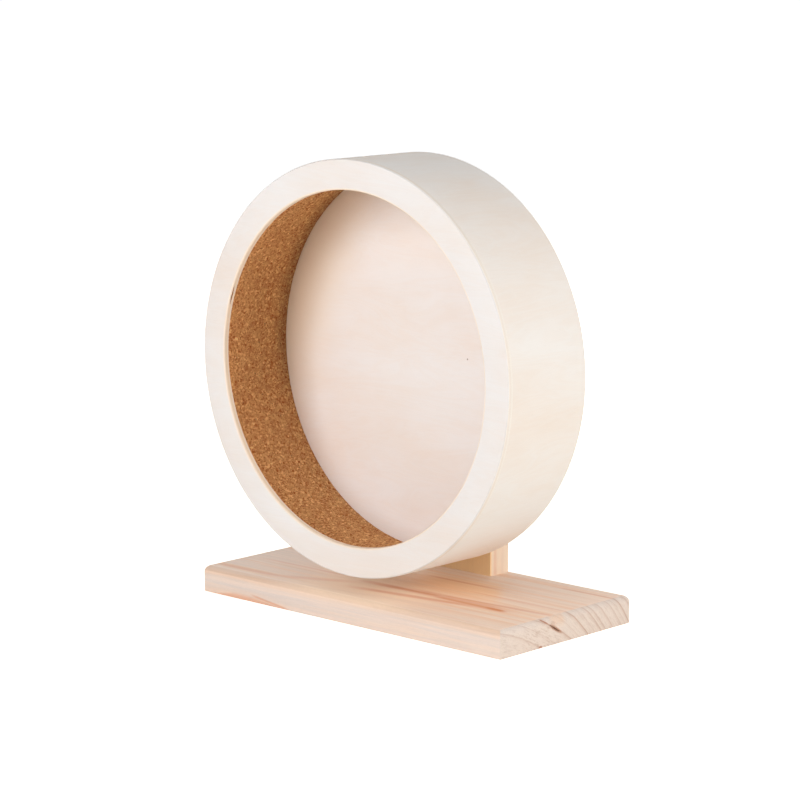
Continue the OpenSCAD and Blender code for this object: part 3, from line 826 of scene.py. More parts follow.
def turned_mesh(name, rows, segments=96, closed=True, upright=False):
    """Body of revolution about the wheel's axis, or about +Z if upright. A row is a radius and a
    place along the axis, each a number or one value for each segment."""
    angle = turns(segments)
    loops = []
    for radius, place in rows:
        radius = np.broadcast_to(radius, segments)
        place = np.broadcast_to(place, segments)
        first, second = radius * np.cos(angle), radius * np.sin(angle)
        if upright:
            loops.append(np.stack([first, second, place], 1))
        else:
            loops.append(np.stack([AXLE.x + first, place, AXLE.z + second], 1))
    return joined_loops(name, loops, closed)


def upright_mesh(name, rows, segments):
    """Solid body of revolution about +Z."""
    return turned_mesh(name, rows, segments, closed=False, upright=True)


def hex_rows(across_flats, start, end, chamfer_start, chamfer_end, steps=4):
    """Rows of a hexagonal prism, one corner at angle 0, with turned-down corners; a chamfer of 0 keeps
    its end full."""
    flats = across_flats / 2 / np.cos(turns(96) % (math.pi / 3) - math.pi / 6)
    corner = across_flats / math.sqrt(3)
    limits = [across_flats / 2 + (corner - across_flats / 2) * index / steps for index in range(steps + 1)]
    first, last = [(flats, start)], [(flats, end)]
    if chamfer_start:
        first = [(np.minimum(flats, limit), start + chamfer_start * index / steps)
                 for index, limit in enumerate(limits)]
    if chamfer_end:
        last = [(np.minimum(flats, limit), end - chamfer_end * index / steps)
                for index, limit in enumerate(limits)]
    return first + last[::-1]


ROWS_PER_TURN = 8


def thread_rows(root, crest, pitch, start, end, segments, hand, run_out):
    """Rows of a right-hand screw thread; hand is +1 about +Z and -1 about the wheel's axis."""
    rows = []
    for place in np.linspace(start, end, int((end - start) / pitch * ROWS_PER_TURN)):
        phase = (place / pitch - hand * turns(segments) / (2 * math.pi)) % 1
        ridge = np.clip(1.5 * (1 - np.abs(2 * phase - 1)) - 0.25, 0, 1)
        near_end = min(abs(place - start), abs(place - end)) / run_out
        rows.append((root + (crest - root) * ridge * min(1.0, near_end), place))
    return rows


def evaluated_mesh(holder, name):
    """Plain mesh of an object with its modifiers applied; the object is removed."""
    bpy.context.view_layer.update()
    depsgraph = bpy.context.evaluated_depsgraph_get()
    mesh = bpy.data.meshes.new_from_object(holder.evaluated_get(depsgraph))
    mesh.name = name
    bpy.data.objects.remove(holder)
    return mesh


def link(name, mesh):
    holder = bpy.data.objects.new(name, mesh)
    bpy.context.scene.collection.objects.link(holder)
    return holder


def drilled(mesh, cutters):
    """The mesh with each cutter's volume taken out of it."""
    body = link("drilled", mesh)
    tools = [link("drill", cleaned(cutter)) for cutter in cutters]
    for tool in tools:
        cut = body.modifiers.new("cut", "BOOLEAN")
        cut.operation = "DIFFERENCE"
        cut.solver = "EXACT"
        cut.object = tool
    result = evaluated_mesh(body, mesh.name)
    for tool in tools:
        bpy.data.objects.remove(tool)
    return result


def filled_mesh(name, fill):
    """New mesh of what fill puts into an empty bmesh."""
    mesh = bpy.data.meshes.new(name)
    work = bmesh.new()
    fill(work)
    work.to_mesh(mesh)
    work.free()
    return mesh


def cleaned(mesh):
    """Merges doubled points and turns all faces outwards."""
    work = bmesh.new()
    work.from_mesh(mesh)
    bmesh.ops.remove_doubles(work, verts=work.verts, dist=1e-7)
    bmesh.ops.dissolve_degenerate(work, edges=work.edges, dist=1e-8)
    bmesh.ops.recalc_face_normals(work, faces=work.faces)
    work.to_mesh(mesh)
    work.free()
    return mesh


def piece(name, mesh, body, nodes, finishes, choose=None, crease=35):
    """Finishes a mesh as a piece that rides on a body and stands for CAD nodes. choose gives the
    number of a face's finish from its centre and its normal."""
    cleaned(mesh)
    mesh.shade_smooth()
    mesh.set_sharp_from_angle(angle=math.radians(crease))
    mesh.materials.clear()
    for finish in finishes:
        mesh.materials.append(finish)
    for face in mesh.polygons:
        face.material_index = choose(face.center, face.normal) if choose else 0
    made = link(name, mesh)
    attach(made, body)
    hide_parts(*nodes)
    return made


# Geometry Nodes

SOCKETS = {"float": "NodeSocketFloat", "int": "NodeSocketInt", "object": "NodeSocketObject",
           "material": "NodeSocketMaterial"}


def geometry_tree(name, inputs):
    """New geometry tree with named inputs; returns it, its builder and its inputs' values by name."""
    tree = bpy.data.node_groups.new(name, "GeometryNodeTree")
    for label, kind in inputs.items():
        tree.interface.new_socket(label, in_out="INPUT", socket_type=SOCKETS[kind])
    tree.interface.new_socket("Geometry", in_out="OUTPUT", socket_type="NodeSocketGeometry")
    nodes = Nodes(tree)
    entry = {socket.name: Value(nodes, socket) for socket in nodes.add("NodeGroupInput").outputs}
    return tree, nodes, entry


def close_tree(nodes, geometry, finish):
    """Ends a tree in real geometry with its material."""
    real = nodes.value("GeometryNodeRealizeInstances", {0: geometry})
    dressed = nodes.value("GeometryNodeSetMaterial", {"Geometry": real, "Material": finish})
    nodes.add("NodeGroupOutput", {0: dressed})


def grown(name, tree, values):
    """Plain mesh that a geometry tree makes from the given values of its named inputs."""
    holder = link(name, bpy.data.meshes.new(name))
    modifier = holder.modifiers.new("grow", "NODES")
    modifier.node_group = tree
    for item in tree.interface.items_tree:
        if item.in_out == "INPUT":
            modifier[item.identifier] = values[item.name]
    return evaluated_mesh(holder, name)


def cork_strip_tree():
    """A strip of pressed cork rolled into a drum: a flat slab of points is bent round the axis, and
    its inner face is pitted between the granules."""
    tree, nodes, entry = geometry_tree("rolled_cork_strip", {
        "Columns": "int", "Rows": "int", "Inner Radius": "float", "Outer Radius": "float",
        "Front": "float", "Back": "float", "Half Joint": "float", "Axis Height": "float",
        "Granule": "float", "Pit Depth": "float", "Material": "material"})
    slab = nodes.value("GeometryNodeMeshCube", {
        "Vertices X": entry["Columns"], "Vertices Y": entry["Rows"], "Vertices Z": 2}, "Mesh")
    x, y, z = nodes.parts(nodes.value("GeometryNodeInputPosition"))
    angle = entry["Half Joint"] + (x + 0.5) * (2 * math.pi - entry["Half Joint"] * 2.0)
    outside = 0.5 - z
    radius = entry["Inner Radius"] + outside * (entry["Outer Radius"] - entry["Inner Radius"])
    place_y = entry["Front"] + (y + 0.5) * (entry["Back"] - entry["Front"])
    cosine, sine = nodes.math("COSINE", angle), nodes.math("SINE", angle)

    def bent(at_radius):
        return nodes.vector(at_radius * cosine, place_y, entry["Axis Height"] + at_radius * sine)

    face = bent(entry["Inner Radius"])
    pits = nodes.step(nodes.rims(face, 1.0 / entry["Granule"]), 0.0, 0.16, 1.0, 0.0)
    heights = nodes.parts(nodes.cells(face, 1.0 / entry["Granule"])[1])[0]
    rare = nodes.step(nodes.noise(face, 260.0), 0.58, 0.72)
    edge = nodes.step(abs(y), 0.488, 0.5)
    low = pits * 0.35 + heights * 0.3 + rare * pits * 0.6 + edge * 0.8
    radius = radius + low * entry["Pit Depth"] * (1.0 - outside)
    rolled = nodes.value("GeometryNodeSetPosition", {"Geometry": slab, "Position": bent(radius)})
    close_tree(nodes, rolled, entry["Material"])
    return tree


def ball_ring_tree():
    """Bearing balls set at even steps on a circle about the wheel's axis."""
    tree, nodes, entry = geometry_tree("ring_of_balls", {
        "Count": "int", "Ring Radius": "float", "Ball Radius": "float", "Middle": "float",
        "Axis Height": "float", "Material": "material"})
    circle = nodes.value("GeometryNodeMeshCircle", {
        "Vertices": entry["Count"], "Radius": entry["Ring Radius"]}, "Mesh")
    ball = nodes.value("GeometryNodeMeshUVSphere", {
        "Segments": 32, "Rings": 16, "Radius": entry["Ball Radius"]}, "Mesh")
    balls = nodes.value("GeometryNodeInstanceOnPoints", {"Points": circle, "Instance": ball})
    placed = nodes.value("GeometryNodeTransform", {
        "Geometry": balls, "Rotation": (math.pi / 2, 0, 0),
        "Translation": nodes.vector(0.0, entry["Middle"], entry["Axis Height"])})
    close_tree(nodes, placed, entry["Material"])
    return tree


def pair_tree():
    """Two copies of a piece, set at both ends of a distance across the post."""
    tree, nodes, entry = geometry_tree("pair_across_post", {
        "Piece": "object", "Spacing": "float", "Depth": "float", "Height": "float",
        "Material": "material"})
    start = nodes.vector(entry["Spacing"] * -0.5, entry["Depth"], entry["Height"])
    places = nodes.value("GeometryNodeMeshLine", {
        "Count": 2, "Start Location": start, "Offset": nodes.vector(entry["Spacing"])})
    source = nodes.value("GeometryNodeObjectInfo", {"Object": entry["Piece"]}, "Geometry")
    copies = nodes.value("GeometryNodeInstanceOnPoints", {"Points": places, "Instance": source})
    close_tree(nodes, copies, entry["Material"])
    return tree


def paired(name, mesh, node, height, finish):
    """Two copies of an upright mesh where the copies of a CAD node stand."""
    points = right_hand_copy(node)
    template = link("template", cleaned(mesh))
    pair = grown(name, pair_tree(), {
        "Piece": template, "Spacing": 2 * middle(points, 0), "Depth": middle(points, 1),
        "Height": height, "Material": finish})
    bpy.data.objects.remove(template)
    return pair


# The wheel's pieces

SHARP_EASE = 0.05 * MM
VOID_MIDDLE = 1.45 * MM
VOID_SLANT = 0.5 * MM
VOID_HALF_HEIGHT = 0.55 * MM
SCARF_ANGLE = math.radians(-148)


class WHEEL_OT_front_ring(bpy.types.Operator):
    """Plywood ring that frames the open front, with the small void in its core's inner edge"""
    bl_idname = "exercise_wheel.front_ring"
    bl_label = "Front ring"

    def execute(self, context):
        size = sizes()
        segments = 1080
        outline = tube_outline(RING, [1 * MM, 1 * MM, SHARP_EASE, SHARP_EASE], 6)
        wall = [(RING.inner, y) for y in np.arange(RING.back - 0.1 * MM, RING.front + 1.05 * MM, -0.2 * MM)]
        share = np.clip((turns(segments) - size.void_start) / (size.void_end - size.void_start), 0, 1)
        lens = np.sin(math.pi * share)
        hollow_part = (share > 0) & (share < 1)
        middle_y = RING.front + VOID_MIDDLE + (0.5 - share) * -VOID_SLANT
        half = np.maximum(VOID_HALF_HEIGHT * lens, 1e-9)
        carved = []
        for radius, y in wall:
            inside = np.clip(1 - (np.abs(y - middle_y) / half) ** 2, 0, 1)
            carved.append((radius + size.void_depth * np.sqrt(inside) * hollow_part, y))
        mesh = turned_mesh("front_ring_ply", outline + carved, segments)
        layers = (size.face_veneer, RING.back - RING.front - size.back_veneer)
        inner_edge = material("ring_inner_edge", build_ply_edge, "y", layers, colours().ply_core,
                              srgb(252, 236, 218))
        outer_edge = material("ring_outer_edge", build_ply_edge, "y", layers, srgb(231, 220, 209),
                              srgb(234, 226, 217))
        finishes = [material("ring_face_veneer", build_ring_face), inner_edge, outer_edge,
                    material("ring_core_void", build_void)]

        def choose(centre, normal):
            radius = math.hypot(centre.x - AXLE.x, centre.z - AXLE.z)
            if RING.inner + 0.1 * MM < radius < RING.inner + 4 * MM and \
                    RING.front + 0.6 * MM < centre.y < RING.back - 0.5 * MM:
                return 3
            if abs(normal.y) > 0.5:
                return 0
            return 1 if radius < (RING.inner + RING.outer) / 2 else 2

        piece("front_ring_plywood", mesh, "wheel", ["front_ring"], finishes, choose)
        return {"FINISHED"}


class WHEEL_OT_drum_shell(bpy.types.Operator):
    """Plywood strip bent into the drum's wall"""
    bl_idname = "exercise_wheel.drum_shell"
    bl_label = "Drum shell"

    def execute(self, context):
        size = sizes()
        outline = tube_outline(SHELL, [0, SHARP_EASE, 1 * MM, 0.25 * MM], 6)
        mesh = turned_mesh("drum_shell_ply", outline, 720)
        veneer = material("shell_veneer", build_shell_veneer, SCARF_ANGLE)
        layers = (size.shell_veneer, SHELL.outer - SHELL.inner - size.shell_veneer)
        edge = material("shell_back_edge", build_ply_edge, "radius", layers, srgb(230, 204, 178),
                        srgb(252, 242, 230))
        piece("drum_shell_plywood", mesh, "wheel", ["drum_shell"], [veneer, edge],
              lambda centre, normal: 1 if abs(normal.y) > 0.6 else 0)
        return {"FINISHED"}


class WHEEL_OT_cork_lining(bpy.types.Operator):
    """Strip of pressed cork, the running surface inside the drum"""
    bl_idname = "exercise_wheel.cork_lining"
    bl_label = "Cork lining"

    def execute(self, context):
        points = right_hand_copy("cork_lining")
        half_joint = np.abs(points[:, 2] - AXLE.z).min()
        finish = material("pressed_cork", build_cork, sizes().granule)
        mesh = grown("cork_strip", cork_strip_tree(), {
            "Columns": 720, "Rows": 60, "Inner Radius": CORK.inner, "Outer Radius": CORK.outer,
            "Front": CORK.front, "Back": CORK.back, "Half Joint": half_joint / CORK.inner,
            "Axis Height": AXLE.z, "Granule": sizes().granule, "Pit Depth": sizes().pit,
            "Material": finish})
        piece("cork_running_strip", mesh, "wheel", ["cork_lining"], [finish], crease=50)
        return {"FINISHED"}


class WHEEL_OT_back_disc(bpy.types.Operator):
    """Plywood disc that closes the drum's back"""
    bl_idname = "exercise_wheel.back_disc"
    bl_label = "Back disc"

    def execute(self, context):
        ease = 0.25 * MM
        outline = tube_outline(DISC._replace(inner=0.0), [0, ease, ease, 0], 3)
        circles = np.linspace(0, DISC.outer - 2 * ease, 6)
        rows = [(radius, DISC.front) for radius in circles] + outline[1:-1]
        rows += [(radius, DISC.back) for radius in circles[::-1]]
        mesh = turned_mesh("back_disc_ply", rows, 360, closed=False)
        veneer = material("disc_veneer", build_disc_veneer, "XZY", 1.3)
        piece("back_disc_plywood", mesh, "wheel", ["back_disc"], [veneer])
        return {"FINISHED"}


class WHEEL_OT_hub_block(bpy.types.Operator):
    """Turned block behind the disc that holds both bearings"""
    bl_idname = "exercise_wheel.hub_block"
    bl_label = "Hub block"

    def execute(self, context):
        front_seat = turned_size("front_bearing_outer_ring")
        rear_seat = turned_size("rear_bearing_outer_ring")
        seat = front_seat.outer + FIT_GAP
        corners = [(HUB.outer, HUB.front), (HUB.outer, HUB.back), (seat, HUB.back), (seat, rear_seat.front),
                   (HUB.inner, rear_seat.front), (HUB.inner, front_seat.back), (seat, front_seat.back),
                   (seat, HUB.front)]
        radii = [v * MM for v in (0.3, 2.0, 0.4, 0, 0.2, 0.2, 0, 0)]
        mesh = turned_mesh("hub_block_turned", eased(corners, radii, 6), 256)
        finish = material("turned_beech", build_beech, "XYZ")
        piece("hub_block_beech", mesh, "wheel", ["hub_block"], [finish])
        return {"FINISHED"}


# The stand's pieces

DOWEL_ROOM = 0.5 * MM
DOWEL_CHAMFER = 1 * MM
POCKET_PLACE = (-12 * MM, 10.8 * MM)
POCKET_TILT = math.radians(-31)
POCKET_HALF_SIZE = (4 * MM, 6.5 * MM, 0.55 * MM)
RECESS_WING = (4.6 * MM, 0.95 * MM, 3.2 * MM)
RECESS_TAPER = 0.55
RECESS_TURN = 0.3
SCREW_ROOT = 0.68
SCREW_POINT = 6 * MM


def board_loop(inset, back_inset, z, corner):
    """Points round the board at one height, inset from its front and ends and from its back."""
    left, right = BOARD_LOW.x + inset, BOARD_HIGH.x - inset
    front, back = BOARD_LOW.y + inset, BOARD_HIGH.y - back_inset
    points = eased([(left, front), (right, front), (right, back), (left, back)], [corner] * 4, 3)
    return np.array([(x, y, z) for x, y in points])


def edge_rounding(y):
    """Radius of the rounding of the board's upper edge at its front or back side."""
    points = node_points("base_board")
    return BOARD_HIGH.z - points[np.abs(points[:, 1] - y) < 0.01 * MM][:, 2].max()


def moved_to(mesh, points):
    """The mesh, moved from the origin to the middle of the points."""
    mesh.transform(Matrix.Translation((middle(points, 0), middle(points, 1), 0)))
    return mesh


def mirrored(mesh):
    other = mesh.copy()
    other.transform(Matrix.Diagonal((-1, 1, 1, 1)))
    return other


def screw_size():
    """Head radius, shank radius and the z of head and point of a base screw."""
    points = right_hand_copy("base_screws")
    radius = np.hypot(points[:, 0] - middle(points, 0), points[:, 1] - middle(points, 1))
    low, high = points[:, 2].min(), points[:, 2].max()
    shank = radius[(points[:, 2] > low + 4 * MM) & (points[:, 2] < high - 4 * MM)].max()
    return radius.max(), shank, low, high


def dowel_size():
    """Radius and the z of both ends of a dowel."""
    points = right_hand_copy("post_dowels")
    return (points[:, 0].max() - points[:, 0].min()) / 2, points[:, 2].min(), points[:, 2].max()


def stand_holes():
    """Cutters for the screw and dowel holes between the board and the post."""
    head, shank, low, high = screw_size()
    rows = [(0.0, -1 * MM), (head + FIT_GAP, -1 * MM), (head + FIT_GAP, low),
            (shank + FIT_GAP, low + head - shank), (shank + FIT_GAP, high - 5 * MM), (0.0, high)]
    screw_hole = moved_to(upright_mesh("hole", rows, 48), right_hand_copy("base_screws"))
    radius, low, high = dowel_size()
    radius, low, high = radius + FIT_GAP, low - DOWEL_ROOM, high + DOWEL_ROOM
    rows = [(0.0, low), (radius, low), (radius, high), (0.0, high)]
    dowel_hole = moved_to(upright_mesh("hole", rows, 48), right_hand_copy("post_dowels"))
    return [screw_hole, mirrored(screw_hole), dowel_hole, mirrored(dowel_hole)]


class WHEEL_OT_base_board(bpy.types.Operator):
    """Planed pine board with rounded upper edges"""
    bl_idname = "exercise_wheel.base_board"
    bl_label = "Base board"

    def execute(self, context):
        arris = sizes().edge_ease
        front_r, back_r = edge_rounding(BOARD_LOW.y), edge_rounding(BOARD_HIGH.y)
        levels = [(arris * 0.7, arris * 0.7, 0.0), (arris * 0.2, arris * 0.2, arris * 0.3), (0.0, 0.0, arris)]
        for cosine, sine in quarter_turn(14):
            drop = front_r * (1 - sine)
            rise = max(0.0, back_r - drop)
            back_inset = back_r - math.sqrt(max(0.0, back_r ** 2 - rise ** 2))
            levels.append((front_r * (1 - cosine), back_inset, BOARD_HIGH.z - drop))
        loops = [board_loop(inset, back_inset, z, arris) for inset, back_inset, z in levels]
        pocket = filled_mesh("pocket", lambda work: bmesh.ops.create_uvsphere(
            work, u_segments=24, v_segments=12, radius=1.0))
        pocket.transform(Matrix.Translation((BOARD_HIGH.x, *POCKET_PLACE))
                         @ Matrix.Rotation(POCKET_TILT, 4, "X") @ Matrix.Diagonal((*POCKET_HALF_SIZE, 1)))
        mesh = drilled(joined_loops("base_board_pine", loops, False), stand_holes() + [pocket])
        piece("base_board_planed", mesh, "stand", ["base_board"],
              [material("board_pine", build_board_pine)], crease=30)
        return {"FINISHED"}


class WHEEL_OT_rear_post(bpy.types.Operator):
    """Pine post with a half-round top that carries the axle bolt"""
    bl_idname = "exercise_wheel.rear_post"
    bl_label = "Rear post"

    def outline(self, inset):
        half = (POST_HIGH.x - POST_LOW.x) / 2 - inset
        middle_x = (POST_HIGH.x + POST_LOW.x) / 2
        arc = [math.pi * index / 48 for index in range(49)]
        points = [(middle_x - half, POST_LOW.z), (middle_x + half, POST_LOW.z)]
        return points + [(middle_x + half * math.cos(a), AXLE.z + half * math.sin(a)) for a in arc]

    def execute(self, context):
        ease = sizes().edge_ease
        front, back = POST_LOW.y, POST_HIGH.y
        stations = [(ease * (1 - sine), front + ease * (1 - cosine)) for cosine, sine in quarter_turn(3)]
        stations += [(inset, front + back - y) for inset, y in reversed(stations)]
        loops = [np.array([(x, y, z) for x, z in self.outline(inset)]) for inset, y in stations]
        bolt = turned_size("post_washer").inner + 0.18 * MM
        start, end = front - 5 * MM, back + 5 * MM
        bore = turned_mesh("bore", [(0.0, start), (bolt, start), (bolt, end), (0.0, end)], 64, closed=False)
        mesh = drilled(joined_loops("rear_post_pine", loops, False), stand_holes() + [bore])
        piece("rear_post_planed", mesh, "stand", ["rear_post"],
              [material("post_pine", build_post_pine)], crease=30)
        return {"FINISHED"}


class WHEEL_OT_base_screws(bpy.types.Operator):
    """Two countersunk cross-recess screws up through the board into the post"""
    bl_idname = "exercise_wheel.base_screws"
    bl_label = "Base screws"

    def execute(self, context):
        head, shank, low, high = screw_size()
        length = high - low
        neck = head - shank
        core = shank * SCREW_ROOT
        rows = [(0.0, 0.0), (head - 0.15 * MM, 0.0), (head, 0.25 * MM), (shank, neck + 0.2 * MM)]
        rows += thread_rows(core, shank, sizes().screw_pitch, neck + 9 * MM, length - SCREW_POINT, 48, 1,
                            2 * MM)
        rows += [(core * (1 - share), length - SCREW_POINT * (1 - share)) for share in (0.3, 0.6, 0.85, 1.0)]
        screw = cleaned(upright_mesh("wood_screw", rows, 48))

        def fill_wing(work):
            bmesh.ops.create_cube(work, size=1.0)
            for vertex in work.verts:
                taper = RECESS_TAPER if vertex.co.z > 0 else 1.0
                wide, thick, tall = RECESS_WING
                vertex.co = Vector((vertex.co.x * wide * taper, vertex.co.y * thick * taper,
                                    vertex.co.z * tall))

        wings = [filled_mesh("wing", fill_wing) for _ in range(2)]
        for wing, angle in zip(wings, (0, math.pi / 2)):
            wing.transform(Matrix.Rotation(angle + RECESS_TURN, 4, "Z"))
        mesh = paired("base_screw_pair", drilled(screw, wings), "base_screws", low, zinc())
        piece("base_screws_zinc", mesh, "stand", ["base_screws"], [zinc()], crease=40)
        return {"FINISHED"}


class WHEEL_OT_post_dowels(bpy.types.Operator):
    """Two fluted beech dowels between the board and the post"""
    bl_idname = "exercise_wheel.post_dowels"
    bl_label = "Post dowels"

    def execute(self, context):
        radius, low, high = dowel_size()
        height, chamfer = high - low, DOWEL_CHAMFER
        flutes = 0.35 * MM * (1 - np.abs(np.cos(turns(144) * 9))) ** 2
        rows = [(0.0, 0.0), (radius - chamfer, 0.0), (radius - flutes, chamfer),
                (radius - flutes, height - chamfer), (radius - chamfer, height), (0.0, height)]
        finish = material("dowel_beech", build_beech, "ZXY")
        mesh = paired("dowel_pair", upright_mesh("dowel", rows, 144), "post_dowels", low, finish)
        piece("post_dowels_beech", mesh, "stand", ["post_dowels"], [finish])
        return {"FINISHED"}


# Bearings

BALL_COUNT = 7
GROOVE_ROOM = 0.05 * MM
SHIELD_PLATE = 0.4 * MM
SHIELD_STEP = 0.55
RACE_CHAMFER = 0.35 * MM
BORE_CHAMFER = 0.25 * MM
LAND_CHAMFER = 0.1 * MM


def groove(land, pitch, groove_r, middle_y, side):
    """Arc of a ball groove cut into a land; side is +1 in the outer ring and -1 in the inner."""
    half = math.acos(abs(land - pitch) / groove_r)
    return [(pitch + side * groove_r * math.cos(turn), middle_y + groove_r * math.sin(turn))
            for turn in np.linspace(-half, half, 13)]


def outer_race_rows(ring, bed, ledge, arc):
    """Outline of an outer ring. The shields lie in its two beds, up to a ledge beside the groove's arc."""
    front_ledge, back_ledge = ring.front + ledge, ring.back - ledge
    return [(ring.outer - RACE_CHAMFER, ring.front), (ring.outer, ring.front + RACE_CHAMFER),
            (ring.outer, ring.back - RACE_CHAMFER), (ring.outer - RACE_CHAMFER, ring.back),
            (bed + LAND_CHAMFER, ring.back), (bed, ring.back - LAND_CHAMFER), (bed, back_ledge),
            (ring.inner, back_ledge), *reversed(arc), (ring.inner, front_ledge), (bed, front_ledge),
            (bed, ring.front + LAND_CHAMFER), (bed + LAND_CHAMFER, ring.front)]


def inner_race_rows(ring, arc):
    return [(ring.inner, ring.front + BORE_CHAMFER), (ring.inner + BORE_CHAMFER, ring.front),
            (ring.outer - LAND_CHAMFER, ring.front), (ring.outer, ring.front + LAND_CHAMFER), *arc,
            (ring.outer, ring.back - LAND_CHAMFER), (ring.outer - LAND_CHAMFER, ring.back),
            (ring.inner + BORE_CHAMFER, ring.back), (ring.inner, ring.back - BORE_CHAMFER)]


def shield_pair(name, size):
    """Mesh of two pressed shields, their raised rings turned to the outside."""
    def fill(work):
        step = size.inner + (size.outer - size.inner) * SHIELD_STEP
        for face, inwards in ((size.front, SHIELD_PLATE), (size.back, -SHIELD_PLATE)):
            back = face + inwards
            low, bend = face + inwards * 0.45, (face + back) / 2
            rows = [(size.inner, face), (step, face), (step + 0.3 * MM, low), (size.outer, low),
                    (size.outer, back), (step + 0.1 * MM, back), (step - 0.2 * MM, bend), (size.inner, bend)]
            work.from_mesh(turned_mesh("shield", rows, 96))

    return filled_mesh(name, fill)


class WHEEL_OT_bearings(bpy.types.Operator):
    """Rings, balls, cages and shields of the front and the rear bearing"""
    bl_idname = "exercise_wheel.bearings"
    bl_label = "Ball bearings"

    def execute(self, context):
        balls_tree = ball_ring_tree()
        steel = bearing_steel()
        for place in ("front", "rear"):
            outer, inner, shields, balls = (turned_size(f"{place}_bearing_{part}") for part in (
                "outer_ring", "inner_ring", "shields", "balls"))
            ball_r = (balls.back - balls.front) / 2
            pitch = balls.outer - ball_r
            middle_y = (outer.front + outer.back) / 2
            groove_r = ball_r + GROOVE_ROOM
            rows = outer_race_rows(outer, shields.outer + FIT_GAP, shields.front - outer.front + SHIELD_PLATE,
                                   groove(outer.inner, pitch, groove_r, middle_y, 1))
            piece(f"{place}_outer_race", turned_mesh(f"{place}_outer_race", rows, 144), "wheel",
                  [f"{place}_bearing_outer_ring"], [steel])
            rows = inner_race_rows(inner, groove(inner.outer, pitch, groove_r, middle_y, -1))
            piece(f"{place}_inner_race", turned_mesh(f"{place}_inner_race", rows, 144), "stand",
                  [f"{place}_bearing_inner_ring"], [steel])
            mesh = grown(f"{place}_ball_ring", balls_tree, {
                "Count": BALL_COUNT, "Ring Radius": pitch, "Ball Radius": ball_r, "Middle": middle_y,
                "Axis Height": AXLE.z, "Material": steel})
            piece(f"{place}_balls", mesh, f"{place}_ball_set",
                  [f"{place}_bearing_balls"], [steel])
            cage = frame["nodes"][f"{place}_bearing_cage"].data
            cage.materials.clear()
            cage.materials.append(cage_brass())
            piece(f"{place}_shield_plates", shield_pair(f"{place}_shields", shields), "wheel",
                  [f"{place}_bearing_shields"], [zinc()], crease=25)
        return {"FINISHED"}


# Bolt, nuts and washers

HEX_CHAMFER = 0.6 * MM
NUT_BEVEL = 0.5 * MM
CAP_HEX_HEIGHT = 6.5 * MM
CAP_BORE_ROOM = 1.3 * MM
CAP_DOME = 6.2 * MM


def hex_across_flats():
    """Width across the flats of the bolt's head, the jam nut and the cap nut."""
    return turned_size("jam_nut").outer * math.sqrt(3)


class WHEEL_OT_axle_bolt(bpy.types.Operator):
    """Hexagonal bolt on which the wheel turns"""
    bl_idname = "exercise_wheel.axle_bolt"
    bl_label = "Axle bolt"

    def execute(self, context):
        bolt = turned_size("axle_bolt")
        head_back = turned_size("head_shim").front
        shank = node_points("axle_bolt")
        shank = shank[shank[:, 1] > head_back + 1 * MM]
        radius = np.hypot(shank[:, 0] - AXLE.x, shank[:, 2] - AXLE.z).max()
        flats = hex_across_flats()
        rows = [(0.0, bolt.front), (flats / 2 - 0.8 * MM, bolt.front)]
        rows += hex_rows(flats, bolt.front, head_back, HEX_CHAMFER, 0)
        thread_start = turned_size("nut_shim").front
        rows += [(radius + 0.3 * MM, head_back), (radius, head_back + 0.3 * MM),
                 (radius, thread_start - 1 * MM)]
        rows += thread_rows(radius - 0.75 * MM, radius, sizes().bolt_pitch, thread_start, bolt.back - 1 * MM,
                            96, -1, 1 * MM)
        rows += [(radius - 0.9 * MM, bolt.back - 0.3 * MM), (radius - 1.1 * MM, bolt.back), (0.0, bolt.back)]
        mesh = turned_mesh("axle_bolt_hex", rows, 96, closed=False)
        piece("axle_bolt_zinc", mesh, "stand", ["axle_bolt"], [zinc()], crease=30)
        return {"FINISHED"}


class WHEEL_OT_nuts(bpy.types.Operator):
    """Jam nut in front of the post and domed cap nut behind it"""
    bl_idname = "exercise_wheel.nuts"
    bl_label = "Jam nut and cap nut"

    def execute(self, context):
        flats = hex_across_flats()
        jam = turned_size("jam_nut")
        rows = [(jam.inner, jam.front + NUT_BEVEL), (jam.inner + NUT_BEVEL, jam.front)]
        rows += hex_rows(flats, jam.front, jam.back, HEX_CHAMFER, HEX_CHAMFER)
        rows += [(jam.inner + NUT_BEVEL, jam.back), (jam.inner, jam.back - NUT_BEVEL)]
        piece("jam_nut_zinc", turned_mesh("jam_nut_hex", rows, 96), "stand", ["jam_nut"], [zinc()],
              crease=30)
        cap = turned_size("cap_nut")
        hex_back = cap.front + CAP_HEX_HEIGHT
        bore_end = turned_size("axle_bolt").back + CAP_BORE_ROOM
        rows = [(0.0, bore_end), (jam.inner, bore_end - 1 * MM), (jam.inner, cap.front + NUT_BEVEL),
                (jam.inner + NUT_BEVEL, cap.front)]
        rows += hex_rows(flats, cap.front, hex_back, HEX_CHAMFER, HEX_CHAMFER)
        rows += [(CAP_DOME + 0.15 * MM, hex_back), (CAP_DOME, hex_back + 0.25 * MM)]
        rows += [(CAP_DOME * cosine, cap.back - CAP_DOME + CAP_DOME * sine)
                 for cosine, sine in quarter_turn(16)]
        mesh = turned_mesh("cap_nut_domed", rows, 96, closed=False)
        piece("cap_nut_zinc", mesh, "stand", ["cap_nut"], [zinc()], crease=30)
        return {"FINISHED"}


class WHEEL_OT_washers(bpy.types.Operator):
    """Shims, bearing spacer and the two washers on the post"""
    bl_idname = "exercise_wheel.washers"
    bl_label = "Washers and spacer"

    def execute(self, context):
        for node in ("head_shim", "nut_shim", "bearing_spacer", "post_washer", "back_washer"):
            outline = tube_outline(turned_size(node), [sizes().metal_ease] * 4, 4)
            mesh = turned_mesh(f"{node}_zinc", outline, 128)
            piece(f"{node}_zinc", mesh, "stand", [node], [zinc()])
        return {"FINISHED"}


